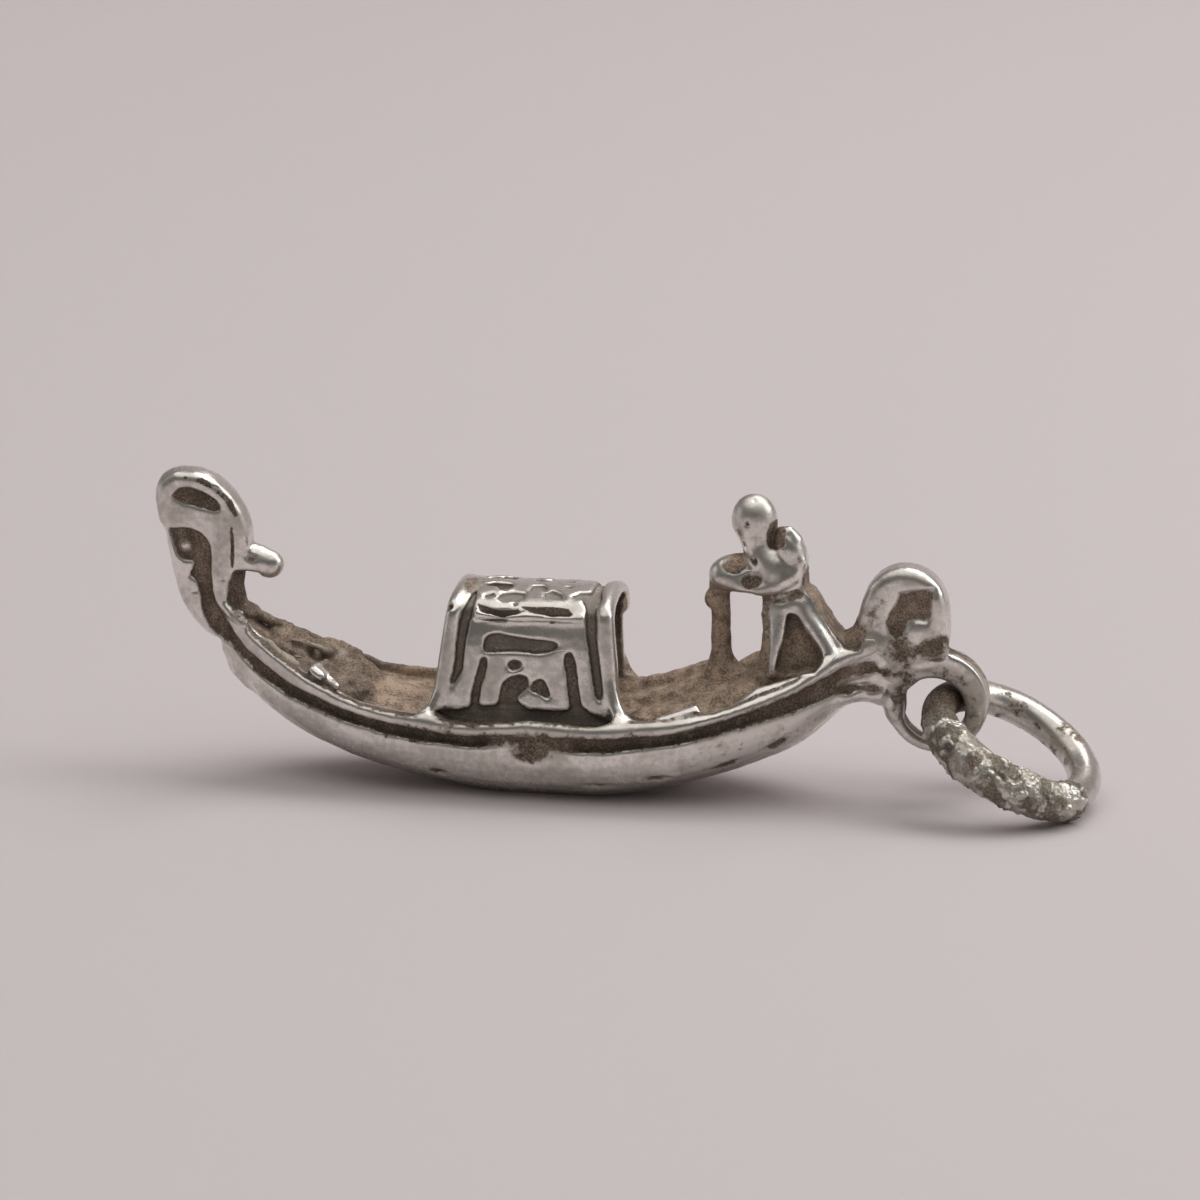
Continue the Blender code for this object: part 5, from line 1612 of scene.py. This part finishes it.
@dataclass
class WireTree:
    """A Geometry Nodes tree that sweeps a lumpy wire along an arc."""

    name: str = "lumpy_wire"
    inputs: Rows = (
        # name, default
        ("Ring radius", 0.0025), ("Wire radius", 0.0005), ("Start angle", 0.0), ("Sweep angle", 6.0),
        ("Steps along", 200), ("Steps round", 48), ("Start girth", 1.0), ("Middle girth", 1.0), ("End girth", 1.0),
        ("Inward shift", 0.0), ("Outward shift", 0.0), ("Lump size", 0.0005), ("Lump height", 0.0),
        ("Grain size", 0.0001), ("Grain height", 0.0), ("Crumb size", 0.0002), ("Crumb height", 0.0),
        ("Pit place", (0.0, 0.0, 1.0)), ("Pit size", 0.0001), ("Pit depth", 0.0), ("Grime", 0.0), ("Grime and shade from", 2.0),
        ("Grime and shade to", 3.0), ("Seed", 0), ("Place", (0.0, 0.0, 0.0)), ("Turn", (0.0, 0.0, 0.0)), ("Finish", None),
    )

    def build(self) -> bpy.types.GeometryNodeTree:
        """Builds the tree."""
        tree = bpy.data.node_groups.new(self.name, "GeometryNodeTree")
        kinds = {float: "NodeSocketFloat", int: "NodeSocketInt", tuple: "NodeSocketVector"}
        for name, default in self.inputs:
            kind = kinds.get(type(default), "NodeSocketMaterial")
            socket = tree.interface.new_socket(name, in_out="INPUT", socket_type=kind)
            if default is not None:
                socket.default_value = default
        tree.interface.new_socket("Mesh", in_out="OUTPUT", socket_type="NodeSocketGeometry")
        graph = Graph(tree)
        given = graph.node("NodeGroupInput").outputs
        arc = graph.node(
            "GeometryNodeCurveArc", {"mode": "RADIUS"}, Resolution=given["Steps along"], in_4=given["Ring radius"],
            Start_Angle=given["Start angle"], Sweep_Angle=given["Sweep angle"],
        )
        share = graph.node("GeometryNodeSplineParameter").outputs["Factor"]
        early, late = graph.step(share, 0.02, 0.3), graph.step(share, 0.62, 0.86)
        girth = graph.plus(given["Start girth"],
                           graph.times(early, graph.minus(given["Middle girth"], given["Start girth"])))
        girth = graph.plus(girth, graph.times(late, graph.minus(given["End girth"], given["Middle girth"])))
        ends = graph.step(graph.math("MINIMUM", share, graph.minus(1.0, share)), 0.0, 0.02, 0.8, 1.0)
        radius = graph.times(given["Wire radius"], graph.times(girth, ends))
        inward = graph.times(given["Inward shift"], graph.times(early, graph.minus(1.0, late)))
        shift = graph.minus(graph.times(given["Outward shift"], late), inward)
        place = graph.node("GeometryNodeInputPosition").outputs[0]
        move = graph.node("ShaderNodeVectorMath", {"operation": "SCALE"}, in_0=place,
                          Scale=graph.math("DIVIDE", shift, given["Ring radius"])).outputs[0]
        path = graph.node("GeometryNodeSetPosition", None, Geometry=arc.outputs[0], Offset=move)
        noted = graph.node("GeometryNodeStoreNamedAttribute", None, Geometry=path.outputs[0], Name="share", Value=share)
        ring = graph.node("GeometryNodeCurvePrimitiveCircle", {"mode": "RADIUS"}, Resolution=given["Steps round"],
                          Radius=1.0)
        swept = graph.node("GeometryNodeCurveToMesh", None, Curve=noted.outputs[0], Profile_Curve=ring.outputs[0],
                           Scale=radius, Fill_Caps=True)
        height, pit = self.bumps(graph, given)
        normal = graph.node("GeometryNodeInputNormal").outputs[0]
        offset = graph.node("ShaderNodeVectorMath", {"operation": "SCALE"}, in_0=normal, Scale=height).outputs[0]
        patch = graph.noise(graph.node("GeometryNodeInputPosition").outputs[0], 1500.0, 2.0)
        along = graph.node("GeometryNodeInputNamedAttribute", None, Name="share").outputs["Attribute"]
        grime_and_shade = graph.times(given["Grime"], graph.step(patch, 0.44, 0.6))
        # Painted shade with grime: a ramp along the wire darkens the stretch that passes the bail.
        grime_and_shade = graph.plus(grime_and_shade, graph.step(along, given["Grime and shade from"], given["Grime and shade to"]))
        proud = graph.step(height, 0.0, graph.plus(graph.times(given["Lump height"], 0.35), 1.0e-6))
        dirty = graph.node(
            "GeometryNodeStoreNamedAttribute", None, Geometry=swept.outputs[0], Name="tarnish",
            Value=graph.plus(graph.times(grime_and_shade, graph.minus(1.25, proud)), pit, clamp=True),
        )
        worn = graph.node("GeometryNodeStoreNamedAttribute", None, Geometry=dirty.outputs[0], Name="wear", Value=proud)
        moved = graph.node("GeometryNodeSetPosition", None, Geometry=worn.outputs[0], Offset=offset)
        turn = graph.node("FunctionNodeEulerToRotation", None, in_0=given["Turn"])
        placed = graph.node("GeometryNodeTransform", None, Geometry=moved.outputs[0], Translation=given["Place"],
                            Rotation=turn.outputs[0])
        smooth = graph.node("GeometryNodeSetShadeSmooth", None, Geometry=placed.outputs[0])
        real = graph.node("GeometryNodeRealizeInstances", None, Geometry=smooth.outputs[0])
        dressed = graph.node("GeometryNodeSetMaterial", None, Geometry=real.outputs[0], Material=given["Finish"])
        graph.node("NodeGroupOutput", None, Mesh=dressed.outputs[0])
        return tree

    def bumps(self, graph: Graph, given: bpy.types.NodeInputs) -> tuple[Socket, Socket]:
        """How far the surface stands out, and how deep in the pit it is."""
        place = graph.node("GeometryNodeInputPosition").outputs[0]
        height = None
        for size, tall, detail in (("Lump size", "Lump height", 1.0), ("Grain size", "Grain height", 3.0)):
            noise = graph.node(
                "ShaderNodeTexNoise", {"noise_dimensions": "4D"}, Vector=place, W=given["Seed"],
                Scale=graph.math("DIVIDE", 1.0, given[size]), Detail=detail,
            ).outputs["Fac"]
            part = graph.times(graph.minus(noise, 0.5), given[tall])
            height = part if height is None else graph.plus(height, part)
        cells = graph.node("ShaderNodeTexVoronoi", {"feature": "SMOOTH_F1"}, Vector=place,
                           Scale=graph.math("DIVIDE", 1.0, given["Crumb size"]))
        crumb = graph.step(cells.outputs["Distance"], 0.15, 0.6, 1.0, 0.0)
        crumb = graph.times(crumb, graph.step(graph.noise(place, 1100.0, 1.0), 0.5, 0.6))
        height = graph.plus(height, graph.times(crumb, given["Crumb height"]))
        away = graph.node("ShaderNodeVectorMath", {"operation": "DISTANCE"}, in_0=place,
                          in_1=given["Pit place"]).outputs["Value"]
        pit = graph.step(graph.math("DIVIDE", away, given["Pit size"]), 0.45, 1.0, 1.0, 0.0)
        return graph.minus(height, graph.times(pit, given["Pit depth"])), pit


def from_tree(name: str, tree: bpy.types.GeometryNodeTree, values: dict[str, object]) -> bpy.types.Object:
    """A plain mesh object made by a Geometry Nodes tree.

    Args:
        name: The new object's name.
        tree: The tree.
        values: Values for its inputs, by name.

    Returns:
        The object, with no modifier left.
    """
    holder = bpy.data.objects.new(f"{name}_maker", bpy.data.meshes.new(f"{name}_maker"))
    bpy.context.scene.collection.objects.link(holder)
    step = holder.modifiers.new("sweep", "NODES")
    step.node_group = tree
    names = {item.name: item.identifier for item in tree.interface.items_tree if item.in_out == "INPUT"}
    for key, value in values.items():
        step[names[key]] = value
    bpy.context.view_layer.update()
    shown = holder.evaluated_get(bpy.context.evaluated_depsgraph_get())
    mesh = bpy.data.meshes.new_from_object(shown)
    holder.modifiers.remove(step)
    bpy.data.objects.remove(holder)
    made = bpy.data.objects.new(name, mesh)
    mesh.name = name
    bpy.context.scene.collection.objects.link(made)
    return made


@dataclass
class JumpRing:
    """The loose ring in the bail: clean wire, and the stretch that solder has flooded."""

    pivot: Pair = (11.76, 3.04)
    radius: float = 2.45
    wire: float = 0.505
    fall: float = 27.1
    roll: float = 4.5
    yaw: float = 13.5
    solder_arc: Pair = (-152.0, -16.0)  # where the solder starts and ends, degrees
    tuck: float = 14.0  # how far the wire runs on inside the solder at each end, degrees
    flood: float = 0.6  # radius of the solder, mm

    def axes(self) -> tuple[Vector, Vector, Vector]:
        """From the bail to the far end, along the wire in the bail, and the ring's normal."""
        fall, roll, yaw = (math.radians(a) for a in (self.fall, self.roll, self.yaw))
        across = Vector((math.sin(yaw) * math.cos(roll), math.cos(yaw) * math.cos(roll), math.sin(roll)))
        down = Vector((math.cos(fall), 0, -math.sin(fall)))
        along = (down - across * down.dot(across)).normalized()
        return along, across, along.cross(across)

    def build(self, finishes: Finishes) -> None:
        """Makes and dresses the ring's two pieces."""
        tree = WireTree().build()
        along, across, normal = self.axes()
        turn = Matrix((along, across, normal)).transposed().to_euler()
        centre = (Vector((self.pivot[0], 0, self.pivot[1])) + self.radius * along) * MM
        shared = {"Ring radius": self.radius * MM, "Place": tuple(centre), "Turn": tuple(turn)}
        start, end = (math.radians(a) for a in self.solder_arc)
        inside = math.radians(self.tuck)
        # The ramps darken each piece by the bail: painted shade there, together with grime.
        wire = from_tree("jump_ring_wire_swept", tree, {
            **shared, "Wire radius": self.wire * MM, "Start angle": end - inside,
            "Sweep angle": 2 * math.pi - (end - start) + 2 * inside, "Steps along": 220, "Steps round": 48,
            "Lump size": 1.4e-3, "Lump height": 4.0e-5, "Grain size": 2.4e-4, "Grain height": 8.0e-6, "Grime": 0.38,
            "Grime and shade from": 0.66, "Grime and shade to": 0.76, "Seed": 3, "Finish": finishes[Slot.WIRE],
        })
        flood = from_tree("jump_ring_solder_flood", tree, {
            **shared, "Wire radius": self.flood * MM, "Start angle": start, "Sweep angle": end - start,
            "Steps along": 420, "Steps round": 200, "Start girth": 0.93, "Middle girth": 1.07, "End girth": 1.0,
            "Inward shift": 0.1 * MM, "Outward shift": 0.09 * MM, "Lump size": 5.0e-4, "Lump height": 2.3e-4,
            "Grain size": 1.1e-4, "Grain height": 8.0e-5, "Crumb size": 1.7e-4, "Crumb height": 6.0e-5,
            "Pit place": (-1.43 * MM, -2.68 * MM, 0.19 * MM), "Pit size": 2.4e-4, "Pit depth": 1.5e-4,
            "Grime": 0.9, "Grime and shade from": 0.14, "Grime and shade to": 0.04, "Seed": 8, "Finish": finishes[Slot.SOLDER],
        })
        for piece, node, slot in ((wire, "jump_ring_wire", Slot.WIRE), (flood, "jump_ring_solder", Slot.SOLDER)):
            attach(piece, RING)
            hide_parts(node)
            LOG.info("%s: %d faces", piece.name, len(piece.data.polygons))


# Studio


@dataclass
class Studio:
    """Pale seamless floor, soft lights and the camera at the photograph's angle."""

    azimuth: float = 9.0
    elevation: float = 15.5
    distance: float = 0.18
    target: Triple = (1.28, 0.0, 5.8)
    frame_width: float = 36.36  # mm across the picture at the target
    floor_colour: Triple = (0.625, 0.575, 0.585)

    def build(self) -> None:
        """Sets up the floor, lights, world and camera."""
        self.sweep()
        self.world()
        self.lamps()
        self.camera()
        settings = bpy.context.scene.view_settings
        settings.view_transform = "Standard"
        settings.look = "None"

    def sweep(self) -> None:
        """A floor that curves up into a wall behind."""
        profile = [(-0.9, 0.0), (0.16, 0.0)]
        for k in range(1, 17):
            angle = math.pi / 2 * k / 16
            profile.append((0.16 + 0.14 * math.sin(angle), 0.14 * (1 - math.cos(angle))))
        profile.append((0.3, 0.75))
        points = [(x, y, z) for y, z in profile for x in (-1.2, 1.2)]
        faces = [(2 * k, 2 * k + 1, 2 * k + 3, 2 * k + 2) for k in range(len(profile) - 1)]
        mesh = bpy.data.meshes.new("studio_sweep")
        mesh.from_pydata(points, [], faces)
        mesh.shade_smooth()
        paper = bpy.data.materials.new("studio_paper")
        paper.use_nodes = True
        shader = paper.node_tree.nodes["Principled BSDF"]
        shader.inputs["Base Color"].default_value = (*self.floor_colour, 1.0)
        shader.inputs["Roughness"].default_value = 0.9
        shader.inputs["Specular IOR Level"].default_value = PALE_SPECULAR
        mesh.materials.append(paper)
        sweep = bpy.data.objects.new("studio_sweep", mesh)
        bpy.context.scene.collection.objects.link(sweep)

    def world(self) -> None:
        """Dim towards the camera and bright overhead."""
        world = bpy.data.worlds.new("studio_world")
        bpy.context.scene.world = world
        world.use_nodes = True
        graph = Graph(world.node_tree)
        way = graph.node("ShaderNodeSeparateXYZ", None, in_0=graph.node("ShaderNodeTexCoord").outputs["Generated"])
        up = graph.step(way.outputs["Z"], 0.6, 0.8)
        side = graph.step(graph.math("ABSOLUTE", way.outputs["X"]), 0.8, 0.97)
        low = graph.mix(graph.step(way.outputs["Y"], 0.25, 0.8), (0.115, 0.112, 0.105), (0.42, 0.395, 0.395))
        tone = graph.mix(up, graph.mix(side, low, (0.6, 0.61, 0.6)), (1.02, 1.0, 0.98))
        back = world.node_tree.nodes["Background"]
        world.node_tree.links.new(tone, back.inputs["Color"])

    def lamp(self, name: str, place: Triple, size: Pair, watts: float, colour: Triple) -> None:
        """A soft rectangular light that faces the charm.

        Args:
            name: Its name.
            place: Where it hangs, metres.
            size: Its width and height, metres.
            watts: Its power.
            colour: Its colour.
        """
        light = bpy.data.lights.new(name, "AREA")
        light.shape = "RECTANGLE"
        light.size, light.size_y = size
        light.energy = watts
        light.color = colour
        lamp = bpy.data.objects.new(name, light)
        lamp.location = place
        lamp.rotation_euler = (Vector((0.0, 0.0, 0.004)) - Vector(place)).to_track_quat("-Z", "Y").to_euler()
        bpy.context.scene.collection.objects.link(lamp)

    def lamps(self) -> None:
        """The overhead softbox and the side light."""
        self.lamp("overhead", (0.12, 0.15, 0.34), (0.3, 0.2), 0.52, (1.0, 0.98, 0.955))
        self.lamp("window", (0.22, 0.03, 0.15), (0.12, 0.14), 0.16, (0.98, 0.99, 1.0))

    def camera(self) -> None:
        """The photograph's view."""
        azimuth, elevation = math.radians(self.azimuth), math.radians(self.elevation)
        back = Vector((math.sin(azimuth) * math.cos(elevation), -math.cos(azimuth) * math.cos(elevation),
                       math.sin(elevation)))
        lens = bpy.data.cameras.new("camera")
        lens.sensor_width = 36.0
        lens.lens = lens.sensor_width * self.distance / (self.frame_width * MM)
        lens.clip_start, lens.clip_end = 0.01, 10.0
        camera = bpy.data.objects.new("camera", lens)
        camera.location = Vector(self.target) * MM + back * self.distance
        camera.rotation_euler = (-back).to_track_quat("-Z", "Y").to_euler()
        bpy.context.scene.collection.objects.link(camera)
        bpy.context.scene.camera = camera


def main() -> None:
    """Builds the charm round its frame, then the studio."""
    logging.basicConfig(level=logging.INFO, format="%(name)s %(message)s")
    finishes = {
        Slot.CAST: SilverFinish("cast_silver_finish").material(),
        Slot.TARNISHED: SilverFinish("tarnished_silver_finish", spread=0.06).material(),
        Slot.WIRE: SilverFinish("ring_wire_finish", bright=(0.74, 0.71, 0.67), polish=0.2, dullness=0.36).material(),
        Slot.SOLDER: SilverFinish(
            "solder_finish", bright=(0.66, 0.63, 0.58), dull=(0.36, 0.33, 0.285), umber=(0.27, 0.245, 0.195),
            soot=(0.12, 0.108, 0.088), polish=0.34, dullness=0.55, crust=0.55, bump=0.6,
        ).material(),
    }
    casting = Casting()
    hull = Hull()
    assemblies = [hull, ProwIron(), ForeDeckCarving(), Cabin(), Gondolier(), Stern()]
    for assembly in assemblies:
        assembly.shape(casting)
    hull.settle(casting)
    for assembly in assemblies:
        assembly.dress(casting, finishes)
    JumpRing().build(finishes)
    Studio().build()


if __name__ == "__main__":
    main()
